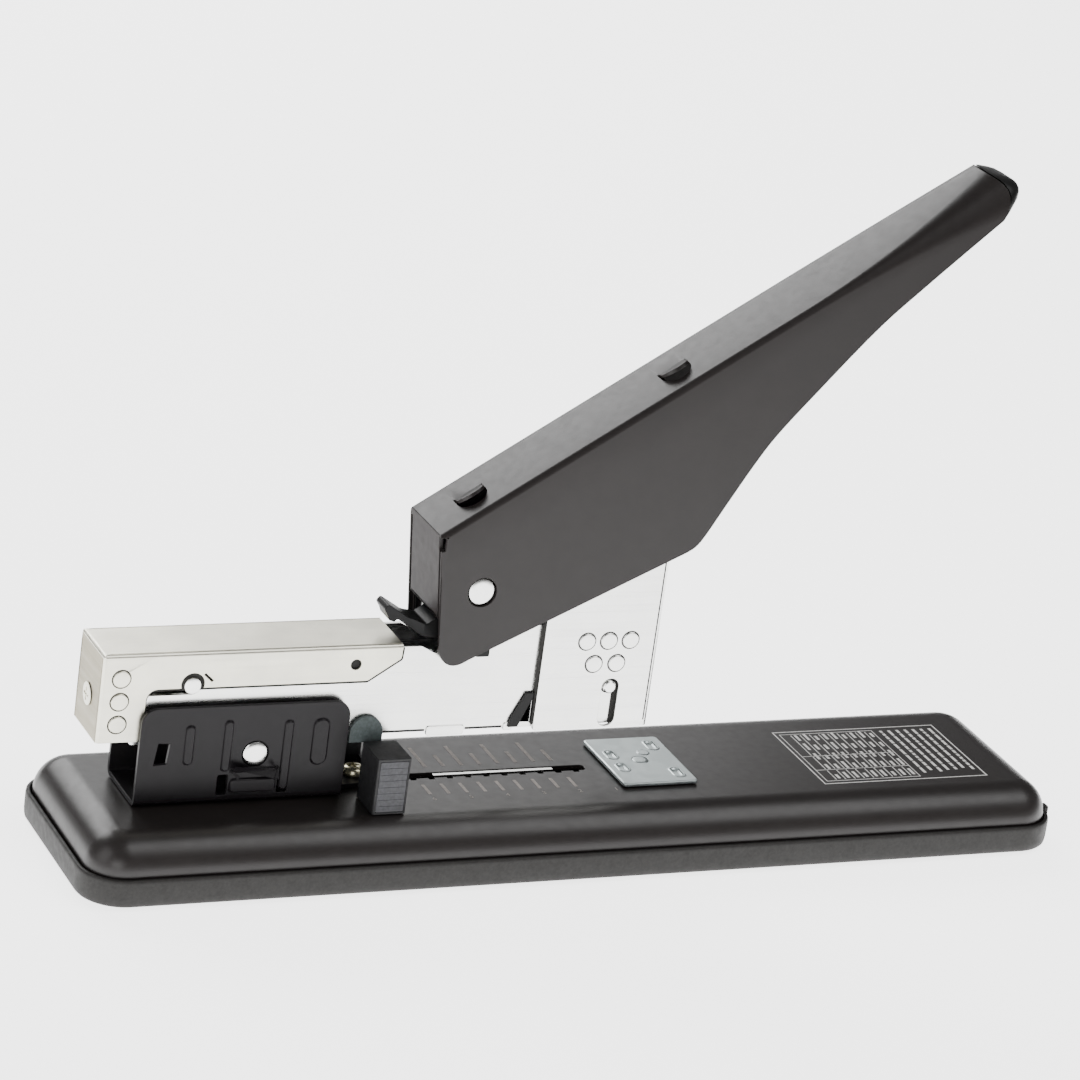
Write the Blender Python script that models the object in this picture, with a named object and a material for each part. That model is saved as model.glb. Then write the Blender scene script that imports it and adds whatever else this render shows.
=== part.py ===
"""Long-base heavy-duty desk stapler, as separate pieces in one frame.

Origin: centre of the underside, where the feet meet the table. +X points to the
grip and to the paper, +Y to the far side, +Z up. Constants are in millimetres;
every mesh is written in metres.
"""
import math

import bmesh
import bpy
from mathutils import Matrix, Vector

MM = 0.001

# ---------------------------------------------------------------- base
BASE_LENGTH = 268.0
BASE_WIDTH = 62.5
BASE_CORNER = 11.3
TRAY_BOTTOM = 0.8
TRAY_TOP = 8.2
TRAY_WALL = 1.2
TRAY_FLOOR = 1.8
SHELL_INSET = 1.6
SHELL_SHEET = 1.2
SHELL_TOP = 17.2
SHELL_BOTTOM = 3.4
SHELL_ROLL = 9.0
PLATE_TOP = SHELL_TOP - SHELL_SHEET - 0.3
PLATE_THICK = 2.4
SEAT_X = (10.5, 45.0)
SEAT_Y = (-18.0, 18.0)
PLATE_X = (-121.0, -62.0)
PLATE_Y = (-17.0, 17.0)
SCREW_BORE = 1.9
FOOT_X = 112.0
FOOT_Y = 19.0
FOOT_RADIUS = 6.5
GAP = 0.3

# ---------------------------------------------------------------- paper guide
SLOT_START = -53.0
SLOT_END = 7.7
SLOT_WIDTH = 3.0
GUIDE_X = (-59.1, -50.2)
GUIDE_Y = (10.1, 21.5)
GUIDE_TOP = 32.4
NECK_X = (-51.2, -47.8)
NECK_Y = (-1.2, -0.2)
RAIL_X = (-34.0, -1.0)
NOTCH_PITCH = 5.0
NOTCH_COUNT = 11

# ---------------------------------------------------------------- anvil
ANVIL_X = 23.4
ANVIL_SIZE = (21.0, 27.4)
ANVIL_BOTTOM = SHELL_TOP + 0.2
ANVIL_THICK = 1.1
STUD_RADIUS = 3.0
CROWN_PITCH = 6.7

# ---------------------------------------------------------------- bracket and pivot
PIVOT = (-87.2, 30.5)
PIVOT_HEAD = 3.2
PIVOT_SHANK = 2.0
BRACKET_X = (-117.4, -63.3)
BRACKET_HALF = 10.4
BRACKET_SHEET = 1.2
BRACKET_FLOOR = SHELL_TOP + GAP
BRACKET_TOP = 43.6
EAR_SCREW_X = -56.2
EAR_RADIUS = 4.6
REAR_SCREW_X = -110.5
FLOOR_BORE = 2.3

# ---------------------------------------------------------------- magazine
FRAME_HALF = 7.85
FRAME_SHEET = 1.2
FRAME_BOTTOM = 33.2
FRAME_TOP = 56.5
FRAME_REAR = -119.5
FRAME_FRONT = 15.4
RAIL_HALF = 5.5
RAIL_TOP = 46.7
ROD_Z = 49.6
ROD_RADIUS = 1.2
HEAD_X = (-12.9, 18.9)
HEAD_HALF = 9.2
HEAD_SHEET = 1.0
HEAD_BOTTOM = 32.6
HEAD_TOP = 84.0
HEAD_PIN = (7.0, 43.6)
HEAD_PIN_RADIUS = 1.7
LIFT_SPRING_X = -64.6
SADDLE_X = -58.0

# ---------------------------------------------------------------- rear cover
COVER_HALF = 8.85
COVER_SHEET = 0.7
COVER_REAR = -128.2
COVER_FRONT = -50.7
COVER_TOP = 57.5
COVER_LOW = 34.5
COVER_EDGE = 48.1
CROSS_PIN = (-104.8, 48.7)
TAIL_SCREW_Z = 44.0
TAIL_BORE = 1.8
CROSS_PIN_RADIUS = 2.2

# ---------------------------------------------------------------- handle
HINGE = (-32.4, 71.5)
HINGE_RADIUS = 3.5
HANDLE_HALF = 10.65
HANDLE_SHEET = 1.1
HANDLE_NOSE = (-45.2, 86.8)
HANDLE_SLOPE = math.radians(32.4)
FLAP_BOTTOM = 65.0
GRIP_START = 45.0
GRIP_END = 96.0
CROWN_RISE = 0.44
TIP_BULGE = 3.0
CAM_Z = 81.8
STIFFENER_HALF = 5.6

# ---------------------------------------------------------------- driver
BLADE_X = (16.2, 17.0)
BLADE_HALF = 6.3
BLADE_BOTTOM = 47.8
BLADE_TOP = 79.4
CARRIER_X = (3.6, 15.9)
CARRIER_Z = (67.0, 79.4)
ROLLER = (10.0, 78.0)
ROLLER_RADIUS = 3.5
ROLLER_BORE = 1.7

# ---------------------------------------------------------------- latch
LATCH_PIN = (-36.6, 60.2)
LATCH_PIN_RADIUS = 1.5

CIRCLE = 24


# ================================================================ mesh helpers
def arc(centre, radius, start, end, steps):
    """Points on an arc, angles in degrees, ends included."""
    points = []
    for i in range(steps + 1):
        angle = math.radians(start + (end - start) * i / steps)
        points.append((centre[0] + radius * math.cos(angle), centre[1] + radius * math.sin(angle)))
    return points


def rounded(corners, steps=3):
    """Closed outline from (a, b, radius) corners, each turned into an arc."""
    outline = []
    count = len(corners)
    for i, (a, b, radius) in enumerate(corners):
        here = Vector((a, b))
        if radius <= 0:
            outline.append((a, b))
            continue
        to_last = (Vector(corners[i - 1][:2]) - here).normalized()
        to_next = (Vector(corners[(i + 1) % count][:2]) - here).normalized()
        half = to_last.angle(to_next) / 2
        middle = here + (to_last + to_next).normalized() * radius / math.sin(half)
        start = here + to_last * radius / math.tan(half)
        end = here + to_next * radius / math.tan(half)
        first = math.atan2(start.y - middle.y, start.x - middle.x)
        last = math.atan2(end.y - middle.y, end.x - middle.x)
        turn = (last - first + math.pi) % (2 * math.pi) - math.pi
        for k in range(steps + 1):
            angle = first + turn * k / steps
            outline.append((middle.x + radius * math.cos(angle), middle.y + radius * math.sin(angle)))
    return outline


def rectangle(a, b, radius=0.0, steps=3):
    """Outline of a rectangle from a = (low, high) and b = (low, high)."""
    corners = [(a[0], b[0], radius), (a[1], b[0], radius), (a[1], b[1], radius), (a[0], b[1], radius)]
    return rounded(corners, steps)


def place_2d(point, depth, axis):
    """World point of an outline point: axis names the extrusion direction."""
    if axis == "x":
        return Vector((depth, point[0], point[1]))
    if axis == "y":
        return Vector((point[0], depth, point[1]))
    return Vector((point[0], point[1], depth))


def prism(outline, low, high, axis):
    """Solid from a closed outline, extruded from low to high along an axis."""
    bm = bmesh.new()
    ring = [bm.verts.new(place_2d(p, low, axis)) for p in outline]
    face = bm.faces.new(ring)
    grown = bmesh.ops.extrude_face_region(bm, geom=[face])
    moved = [v for v in grown["geom"] if isinstance(v, bmesh.types.BMVert)]
    bmesh.ops.translate(bm, verts=moved, vec=place_2d((0, 0), high - low, axis))
    bmesh.ops.recalc_face_normals(bm, faces=bm.faces)
    return bm


def block(x, y, z):
    """Plain rectangular solid from three (low, high) pairs."""
    return prism(rectangle(x, y), z[0], z[1], "z")


def turned(profile, centre, axis, sides=CIRCLE):
    """Solid of revolution: profile is (radius, distance along the axis)."""
    bm = bmesh.new()
    rings = []
    for radius, along in profile:
        ring = []
        for i in range(sides):
            angle = 2 * math.pi * i / sides
            across = (radius * math.cos(angle), radius * math.sin(angle))
            ring.append(bm.verts.new(place_2d(across, along, axis) + Vector(centre)))
        rings.append(ring)
    for a, b in zip(rings, rings[1:]):
        for i in range(sides):
            j = (i + 1) % sides
            bm.faces.new((a[i], a[j], b[j], b[i]))
    bm.faces.new(rings[0])
    bm.faces.new(rings[-1])
    bmesh.ops.recalc_face_normals(bm, faces=bm.faces)
    return bm


def cylinder(radius, low, high, centre, axis, sides=CIRCLE):
    """Round bar; centre is the axis position, with 0 along the axis itself."""
    return turned([(radius, low), (radius, high)], centre, axis, sides)


def pierced(outer, holes, low, high, axis, centre):
    """Round plate or washer with one bore: outer radius, bore radius."""
    bm = bmesh.new()
    rings = []
    for radius, along in ((outer, low), (outer, high), (holes, high), (holes, low)):
        ring = []
        for i in range(CIRCLE):
            angle = 2 * math.pi * i / CIRCLE
            across = (radius * math.cos(angle), radius * math.sin(angle))
            ring.append(bm.verts.new(place_2d(across, along, axis) + Vector(centre)))
        rings.append(ring)
    for k in range(4):
        a, b = rings[k], rings[(k + 1) % 4]
        for i in range(CIRCLE):
            j = (i + 1) % CIRCLE
            bm.faces.new((a[i], a[j], b[j], b[i]))
    bmesh.ops.recalc_face_normals(bm, faces=bm.faces)
    return bm


def tube(points, radius, sides=6):
    """Round wire along a list of points, with flat ends."""
    bm = bmesh.new()
    rings = []
    side = None
    for i, point in enumerate(points):
        before = points[max(i - 1, 0)]
        after = points[min(i + 1, len(points) - 1)]
        ahead = (Vector(after) - Vector(before)).normalized()
        if side is None:
            side = ahead.orthogonal().normalized()
        side = (side - ahead * side.dot(ahead)).normalized()
        other = ahead.cross(side)
        ring = []
        for k in range(sides):
            angle = 2 * math.pi * k / sides
            offset = side * math.cos(angle) + other * math.sin(angle)
            ring.append(bm.verts.new(Vector(point) + offset * radius))
        rings.append(ring)
    for a, b in zip(rings, rings[1:]):
        for k in range(sides):
            j = (k + 1) % sides
            bm.faces.new((a[k], a[j], b[j], b[k]))
    bm.faces.new(rings[0])
    bm.faces.new(rings[-1])
    bmesh.ops.recalc_face_normals(bm, faces=bm.faces)
    return bm


def helix(centre, radius, low, high, turns, axis, steps=12):
    """Points of a coil about an axis line, from low to high along it."""
    points = []
    total = int(turns * steps)
    for i in range(total + 1):
        angle = 2 * math.pi * i / steps
        along = low + (high - low) * i / total
        across = (radius * math.cos(angle), radius * math.sin(angle))
        points.append(place_2d(across, along, axis) + Vector(centre))
    return points


def together(*solids):
    """One mesh holding several solids."""
    joined = bmesh.new()
    for solid in solids:
        carrier = bpy.data.meshes.new("carrier")
        solid.to_mesh(carrier)
        solid.free()
        joined.from_mesh(carrier)
        bpy.data.meshes.remove(carrier)
    return joined


# ================================================================ scene helpers
def clear_scene():
    """Remove everything that a new file holds."""
    for item in list(bpy.data.objects):
        bpy.data.objects.remove(item, do_unlink=True)


def material(name, colour, roughness, metallic):
    """Principled material with plain values."""
    made = bpy.data.materials.new(name)
    made.use_nodes = True
    shader = made.node_tree.nodes["Principled BSDF"]
    shader.inputs["Base Color"].default_value = (*colour, 1.0)
    shader.inputs["Roughness"].default_value = roughness
    shader.inputs["Metallic"].default_value = metallic
    made.diffuse_color = (*colour, 1.0)
    return made


def pivot(name, x, y, z, parent=None):
    """Empty on a joint's axis, which carries the pieces that move there."""
    empty = bpy.data.objects.new(name, None)
    bpy.context.scene.collection.objects.link(empty)
    empty.empty_display_size = 0.01
    empty.location = Vector((x, y, z)) * MM
    bpy.context.view_layer.update()
    if parent:
        empty.parent = parent
        empty.matrix_parent_inverse = parent.matrix_world.inverted()
    bpy.context.view_layer.update()
    return empty


def mesh_object(name, solid):
    """Mesh object in metres from a solid in millimetres."""
    bmesh.ops.transform(solid, matrix=Matrix.Scale(MM, 4), verts=solid.verts)
    mesh = bpy.data.meshes.new(name)
    solid.to_mesh(mesh)
    solid.free()
    made = bpy.data.objects.new(name, mesh)
    bpy.context.scene.collection.objects.link(made)
    return made


def part(name, solid, finish, carrier=None):
    """A real piece: named, with its material, on the empty that carries it."""
    made = mesh_object(name, solid)
    made.data.shade_smooth()
    made.data.set_sharp_from_angle(angle=math.radians(35))
    made.data.materials.append(finish)
    if carrier:
        made.parent = carrier
        made.matrix_parent_inverse = carrier.matrix_world.inverted()
    return made


def boolean(target, solid, operation):
    """Cut a solid from a piece, or add one to it, with a hidden helper."""
    helper = mesh_object(target.name + "_" + operation.lower(), solid)
    helper.hide_render = True
    helper.display_type = "WIRE"
    step = target.modifiers.new(operation.title(), "BOOLEAN")
    step.object = helper
    step.operation = operation
    step.solver = "EXACT"
    step.use_self = True


def cut(target, *solids):
    boolean(target, together(*solids), "DIFFERENCE")


def fuse(target, *solids):
    boolean(target, together(*solids), "UNION")


# ================================================================ base
def base_outline(inset):
    """Outline of the base moved inwards; its corner radius keeps at least 1 mm."""
    half_x = BASE_LENGTH / 2 - inset
    half_y = BASE_WIDTH / 2 - inset
    return rectangle((-half_x, half_x), (-half_y, half_y), max(BASE_CORNER - inset, 1.0), 6)


def foot_places():
    return [(x, y) for x in (-FOOT_X, FOOT_X) for y in (-FOOT_Y, FOOT_Y)]


def screw_places():
    """Base screws: two into the bracket plate, two into the anvil seat."""
    return [(-100.0, -12.5), (-100.0, 12.5), (38.5, -12.5), (38.5, 12.5)]


def make_tray(finish):
    """Tray with screw bosses inside, and seats for the feet and the anvil button below."""
    tray = part("base_tray", prism(base_outline(0), TRAY_BOTTOM, TRAY_TOP, "z"), finish)
    cut(tray, prism(base_outline(TRAY_WALL), TRAY_BOTTOM + TRAY_FLOOR, TRAY_TOP + 1, "z"))
    boss_top = PLATE_TOP - PLATE_THICK - GAP
    bosses = [cylinder(4.2, TRAY_BOTTOM + 1, boss_top, (x, y, 0), "z", 14) for x, y in screw_places()]
    fuse(tray, *bosses)
    holes = [cylinder(SCREW_BORE, 0, boss_top + 1, (x, y, 0), "z", 12) for x, y in screw_places()]
    heads = [cylinder(3.6, 0, 3.4, (x, y, 0), "z", 14) for x, y in screw_places()]
    seats = [cylinder(FOOT_RADIUS + GAP, 0, 1.6, (x, y, 0), "z") for x, y in foot_places()]
    button = cylinder(6.9, 0, 6, (ANVIL_X, 0, 0), "z")
    cut(tray, *holes)
    cut(tray, *heads, *seats, button)


def shell_solid(inset, top, roll, bottom):
    """Rounded-over block: straight wall, then a quarter roll up to the flat top."""
    bm = bmesh.new()
    levels = [(0.0, bottom)]
    for i in range(6):
        angle = math.radians(18 * i)
        levels.append((roll * (1 - math.cos(angle)), top - roll + roll * math.sin(angle)))
    rings = []
    for shift, height in levels:
        outline = base_outline(inset + shift)
        rings.append([bm.verts.new((p[0], p[1], height)) for p in outline])
    for a, b in zip(rings, rings[1:]):
        for i in range(len(a)):
            j = (i + 1) % len(a)
            bm.faces.new((a[i], a[j], b[j], b[i]))
    bm.faces.new(rings[0])
    bm.faces.new(rings[-1])
    bmesh.ops.recalc_face_normals(bm, faces=bm.faces)
    return bm


def make_shell(finish):
    """Sheet top with the guide slot, its row of notches and the stud and screw holes."""
    shell = part("base_shell", shell_solid(SHELL_INSET, SHELL_TOP, SHELL_ROLL, SHELL_BOTTOM), finish)
    inside = shell_solid(SHELL_INSET + SHELL_SHEET, SHELL_TOP - SHELL_SHEET,
                         SHELL_ROLL - SHELL_SHEET, SHELL_BOTTOM - 1)
    cut(shell, inside)
    half = SLOT_WIDTH / 2
    slot = prism(rectangle((SLOT_START, SLOT_END), (-half, half), 1.2), 10, 20, "z")
    stud = cylinder(STUD_RADIUS + 0.5, 10, 20, (ANVIL_X, 0, 0), "z")
    rear = cylinder(FLOOR_BORE, 10, 20, (REAR_SCREW_X, 0, 0), "z", 16)
    notches = [block((x - 0.8, x + 0.8), (-half - 0.9, 0), (10, 20))
               for x in (SLOT_END - 3.0 - NOTCH_PITCH * i for i in range(NOTCH_COUNT))]
    cut(shell, slot, stud, rear)
    cut(shell, *notches)


def make_base(steel, plastic, rubber, paint):
    """Tray, shell, feet, screws and the two steel plates that the screws hold inside."""
    make_tray(plastic)
    make_shell(paint)
    for i, (x, y) in enumerate(foot_places()):
        profile = [(FOOT_RADIUS - 0.6, 0.0), (FOOT_RADIUS, 0.5), (FOOT_RADIUS, 1.3)]
        part("rubber_foot_%d" % (i + 1), turned(profile, (x, y, 0), "z", 20), rubber)
    for i, (x, y) in enumerate(screw_places()):
        screw = turned([(3.2, 1.1), (3.2, 2.6), (1.5, 3.0), (1.5, PLATE_TOP - 0.3)], (x, y, 0), "z", 12)
        made = part("base_screw_%d" % (i + 1), screw, steel)
        cut(made, block((x - 2, x + 2), (y - 0.35, y + 0.35), (0, 1.9)))

    low = PLATE_TOP - PLATE_THICK
    seat = part("anvil_seat", block(SEAT_X, SEAT_Y, (low, PLATE_TOP)), steel)
    bores = [cylinder(SCREW_BORE, 0, 20, (x, y, 0), "z", 12) for x, y in screw_places()[2:]]
    cut(seat, *bores, cylinder(STUD_RADIUS + 0.5, 0, 20, (ANVIL_X, 0, 0), "z"))
    plate = part("bracket_plate", block(PLATE_X, PLATE_Y, (low, PLATE_TOP)), steel)
    bores = [cylinder(SCREW_BORE, 0, 20, (x, y, 0), "z", 12) for x, y in screw_places()[:2]]
    cut(plate, *bores, cylinder(FLOOR_BORE, 0, 20, (REAR_SCREW_X, 0, 0), "z", 16))


# ================================================================ pivot bracket
def make_bracket(paint, nickel, yellow_zinc):
    """Pivot bracket with its ear and beaded flank, its two screws and the pivot pin."""
    x0, x1 = BRACKET_X
    half = BRACKET_HALF
    bracket = part("pivot_bracket", block((x0, x1), (-half, half), (BRACKET_FLOOR, BRACKET_TOP)), paint)
    inner = half - BRACKET_SHEET
    hollow = block((x0 - 1, x1 + 1), (-inner, inner), (BRACKET_FLOOR + BRACKET_SHEET, BRACKET_TOP + 1))
    corner = rounded([(x0, BRACKET_TOP, 4.0), (x0, 0, 0), (x1, 0, 0), (x1, BRACKET_TOP, 4.0)], 5)
    cut(bracket, hollow)
    boolean(bracket, prism(corner, -21, 21, "y"), "INTERSECT")
    tip = EAR_SCREW_X + EAR_RADIUS
    ear = rounded([(x1 - 8, -7, 0), (x1 + 1, -6, 0), (tip, -EAR_RADIUS, 4.2), (tip, EAR_RADIUS, 4.2),
                   (x1 + 1, 6, 0), (x1 - 8, 7, 0)], 6)
    fuse(bracket, prism(ear, BRACKET_FLOOR, BRACKET_FLOOR + BRACKET_SHEET, "z"))
    floor_holes = [cylinder(FLOOR_BORE, 10, 25, (x, 0, 0), "z", 16) for x in (EAR_SCREW_X, REAR_SCREW_X)]
    pin_hole = cylinder(PIVOT_HEAD + GAP, -20, 20, (PIVOT[0], 0, PIVOT[1]), "y")
    groove = rounded([(-95.8, 39.7, 0.9), (-93.9, 39.7, 0.9), (-93.9, 26.4, 0.3), (-95.8, 26.4, 0.3)], 3)
    half_slot = prism(groove, -half - 1, -half + 0.45, "y")
    cut(bracket, *floor_holes, pin_hole, half_slot)

    top = BRACKET_FLOOR + BRACKET_SHEET + GAP
    for name, x, low in (("ear_screw", EAR_SCREW_X, BRACKET_FLOOR), ("rear_screw", REAR_SCREW_X, 12.6)):
        profile = [(1.9, low), (1.9, top), (3.3, top), (3.3, top + 1.0), (2.8, top + 1.8), (1.8, top + 2.2)]
        screw = part(name, turned(profile, (x, 0, 0), "z", 18), yellow_zinc)
        slots = together(block((x - 1.7, x + 1.7), (-0.35, 0.35), (top + 1.2, top + 4)),
                         block((x - 0.35, x + 0.35), (-1.7, 1.7), (top + 1.2, top + 4)))
        cut(screw, slots)

    inside = half - BRACKET_SHEET - 0.2
    outside = half + 0.2
    profile = [(PIVOT_HEAD, -outside), (PIVOT_HEAD, -inside), (PIVOT_SHANK, -inside),
               (PIVOT_SHANK, inside), (PIVOT_HEAD, inside), (PIVOT_HEAD, outside)]
    part("pivot_pin", turned(profile, (PIVOT[0], 0, PIVOT[1]), "y"), nickel)


# ================================================================ paper guide
def make_guide(carrier, plastic, steel):
    """Two posts on a bridge, with a neck through the slot and a spring clip under it."""
    x0, x1 = GUIDE_X
    y0, y1 = GUIDE_Y
    low = SHELL_TOP + GAP
    posts = [prism(rectangle((x0, x1), side, 0.6, 2), low, GUIDE_TOP, "z") for side in ((-y1, -y0), (y0, y1))]
    guide = part("paper_guide", posts[0], plastic, carrier)
    bridge = block((NECK_X[0], NECK_X[1]), (-y0 - 2, y0 + 2), (low, low + 1.8))
    neck = block(NECK_X, NECK_Y, (14.2, low + 1))
    fuse(guide, posts[1])
    fuse(guide, bridge)
    fuse(guide, neck)
    clip = block((NECK_X[0] - 3, NECK_X[1] + 3), (-8.0, NECK_Y[1]), (PLATE_TOP - 1.2, PLATE_TOP))
    made = part("guide_clip", clip, steel, carrier)
    cut(made, block((NECK_X[0] - GAP, NECK_X[1] + GAP), (NECK_Y[0] - GAP, 2), (10, 20)))


def make_guide_rail(steel):
    """Bright bar on the far side of the slot, which keeps the guide's neck in its notches."""
    foot = block((RAIL_X[0] - 6, RAIL_X[1] + 6), (-4.5, 4.5), (12.6, 13.6))
    rail = part("guide_rail", foot, steel)
    fuse(rail, block(RAIL_X, (0.15, SLOT_WIDTH / 2 - GAP / 2), (13.0, SHELL_TOP - 0.2)))


# ================================================================ anvil
def make_anvil(lift, turn, steel, zinc):
    """Anvil plate with four forming pits, the stud that it turns on, and the stud's spring."""
    half_x = ANVIL_SIZE[0] / 2
    half_y = ANVIL_SIZE[1] / 2
    outline = rectangle((ANVIL_X - half_x, ANVIL_X + half_x), (-half_y, half_y), 0.8, 2)
    top = ANVIL_BOTTOM + ANVIL_THICK
    plate = part("anvil_plate", prism(outline, ANVIL_BOTTOM, top, "z"), zinc, turn)
    pits = []
    for x, y, length in ((ANVIL_X - CROWN_PITCH, 3.8, 4.4), (ANVIL_X + CROWN_PITCH, 8.3, 5.0)):
        for side in (-1, 1):
            shape = rectangle((x - 0.9, x + 0.9), (side * y - length / 2, side * y + length / 2), 0.85, 3)
            pits.append(prism(shape, top - 0.5, top + 1, "z"))
    bore = cylinder(2.5, 10, 25, (ANVIL_X, 0, 0), "z", 24)
    cut(plate, bore, *pits)

    shoulder = ANVIL_BOTTOM - GAP
    profile = [(5.6, 1.2), (6.2, 1.7), (6.2, 3.8), (STUD_RADIUS, 3.8), (STUD_RADIUS, shoulder),
               (2.2, shoulder), (2.2, top + GAP), (2.9, top + GAP), (2.6, top + 0.7)]
    part("anvil_stud", turned(profile, (ANVIL_X, 0, 0), "z", 20), steel, lift)
    seat_low = PLATE_TOP - PLATE_THICK
    coil = helix((ANVIL_X, 0, 0), 4.4, 4.6, seat_low - 0.7, 3, "z", 10)
    part("anvil_spring", tube(coil, 0.4, 4), steel)


# ================================================================ magazine
def frame_side():
    """Side outline of the magazine frame, with its pivot lugs and handle ears."""
    px, pz = PIVOT
    hx, hz = HINGE
    return rounded([
        (FRAME_REAR, FRAME_BOTTOM, 1.0), (px - 11, FRAME_BOTTOM, 2.0), (px - 5, pz - 5.0, 3.5),
        (px + 5, pz - 5.0, 3.5), (px + 11, FRAME_BOTTOM, 2.0), (FRAME_FRONT, FRAME_BOTTOM, 0),
        (FRAME_FRONT, 61.0, 3.0), (-21.0, 61.0, 2.0), (hx + 6.4, hz + 6.0, 5.0),
        (hx - 6.4, hz + 6.0, 5.0), (-40.8, 54.0, 0.8), (-45.4, FRAME_TOP, 0.8), (FRAME_REAR, FRAME_TOP, 2.0)])


def make_frame(carrier, nickel, steel, black):
    """Magazine channel, staple rail, and the washers, studs and pins that it carries."""
    half = FRAME_HALF
    inner = half - FRAME_SHEET
    frame = part("magazine_frame", prism(frame_side(), -half, half, "y"), nickel, carrier)
    hollow = block((FRAME_REAR - 5, FRAME_FRONT + 5), (-inner, inner), (FRAME_BOTTOM + FRAME_SHEET, 90))
    below = block((PIVOT[0] - 20, PIVOT[0] + 20), (-inner, inner), (20, FRAME_BOTTOM))
    cut(frame, hollow, below)
    hinge = cylinder(HINGE_RADIUS + 0.35, -20, 20, (HINGE[0], 0, HINGE[1]), "y")
    latch = cylinder(LATCH_PIN_RADIUS + GAP, -20, 20, (LATCH_PIN[0], 0, LATCH_PIN[1]), "y", 20)
    lower = cylinder(PIVOT_SHANK + GAP, -20, 20, (PIVOT[0], 0, PIVOT[1]), "y", 24)
    head = cylinder(HEAD_PIN_RADIUS + GAP, -20, 20, (HEAD_PIN[0], 0, HEAD_PIN[1]), "y", 20)
    notch_end = CROSS_PIN[0] + CROSS_PIN_RADIUS + 0.4
    notch_z = (CROSS_PIN[1] - CROSS_PIN_RADIUS - 0.4, CROSS_PIN[1] + CROSS_PIN_RADIUS + 0.4)
    notch = rounded([(FRAME_REAR - 5, notch_z[0], 0), (notch_end, notch_z[0], 2.5),
                     (notch_end, notch_z[1], 2.5), (FRAME_REAR - 5, notch_z[1], 0)], 5)
    rear_notch = prism(notch, -20, 20, "y")
    toe_low = FRAME_BOTTOM + 1.4
    toe = prism([(-13.6, toe_low), (-13.6, toe_low + 7.0), (-17.4, toe_low)], -20, 20, "y")
    cut(frame, hinge, latch, lower, head, rear_notch, toe)
    mouth_inner = block((FRAME_FRONT - 2, FRAME_FRONT + 5), (-inner, inner), (30, FRAME_BOTTOM + 3))
    cut(frame, mouth_inner)

    rail = part("staple_rail", block((-98.5, 15.2), (-RAIL_HALF, RAIL_HALF), (35.0, RAIL_TOP)), steel, carrier)
    cut(rail, block((-110, 12.8), (-RAIL_HALF + 1, RAIL_HALF - 1), (30, RAIL_TOP - 1)))

    for name, side in (("pivot_washer_near", -1), ("pivot_washer_far", 1)):
        low, high = sorted((side * (half + 0.2), side * (half + 1.1)))
        washer = pierced(4.4, PIVOT_SHANK + GAP, low, high, "y", (PIVOT[0], 0, PIVOT[1]))
        part(name, washer, black, carrier)
    handle_pin = cylinder(HINGE_RADIUS, -HANDLE_HALF + 0.3, HANDLE_HALF - 0.3, (HINGE[0], 0, HINGE[1]), "y")
    part("handle_pin", handle_pin, nickel, carrier)
    for name, side in (("head_stud_near", -1), ("head_stud_far", 1)):
        low, high = sorted((side * (inner + 0.1), side * (HEAD_HALF + 0.1)))
        stud = cylinder(HEAD_PIN_RADIUS, low, high, (HEAD_PIN[0], 0, HEAD_PIN[1]), "y", 20)
        part(name, stud, nickel, carrier)
    reach = half - 0.05
    latch_pin = cylinder(LATCH_PIN_RADIUS, -reach, reach, (LATCH_PIN[0], 0, LATCH_PIN[1]), "y", 20)
    part("latch_pin", latch_pin, steel, carrier)


def make_head(carrier, nickel):
    """Front housing round the driver, with the slot that its stud shows through."""
    x0, x1 = HEAD_X
    outline = rounded([(x0, HEAD_BOTTOM, 0.8), (x1, HEAD_BOTTOM, 0), (x1, HEAD_TOP, 0), (x0, HEAD_TOP, 4.0)], 4)
    head = part("head_housing", prism(outline, -HEAD_HALF, HEAD_HALF, "y"), nickel, carrier)
    inner = HEAD_HALF - HEAD_SHEET
    cut(head, block((x0 - 5, x1 - HEAD_SHEET), (-inner, inner), (20, 100)))
    cut(head, prism(rectangle((5.2, 9.0), (34.6, 45.6), 1.85, 5), -20, 20, "y"))


def make_hook(carrier, black):
    """Bent flat spring on the near flank, in front of the frame's cut toe."""
    y0, y1 = -FRAME_HALF - 0.9, -FRAME_HALF - GAP
    shape = [(-19.6, 33.6), (-17.0, 33.6), (-13.6, 41.6), (-13.6, 42.8), (-15.6, 42.8), (-19.2, 35.6)]
    part("anti_jam_spring", prism(shape, y0, y1, "y"), black, carrier)


def make_lift(carrier, black, steel):
    """Saddle clipped under the frame, on the coil that holds the head up."""
    half = FRAME_HALF + GAP
    cheek = [(SADDLE_X - 4.4, 31.6), (SADDLE_X + 4.4, 31.6)]
    cheek += arc((SADDLE_X, 34.2), 4.4, 0, 180, 10)
    saddle = part("spring_saddle", prism(cheek, -half - 1.1, half + 1.1, "y"), black, carrier)
    room = block((SADDLE_X - 10, SADDLE_X + 10), (-half, half), (FRAME_BOTTOM - GAP, 50))
    cut(saddle, room)
    fuse(saddle, block((LIFT_SPRING_X - 4.4, SADDLE_X), (-6.5, 6.5), (31.6, FRAME_BOTTOM - GAP)))
    coil = helix((LIFT_SPRING_X, 0, 0), 3.4, BRACKET_FLOOR + BRACKET_SHEET + 0.9, 30.8, 5, "z", 10)
    part("lift_spring", tube(coil, 0.55, 5), steel)


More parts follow.
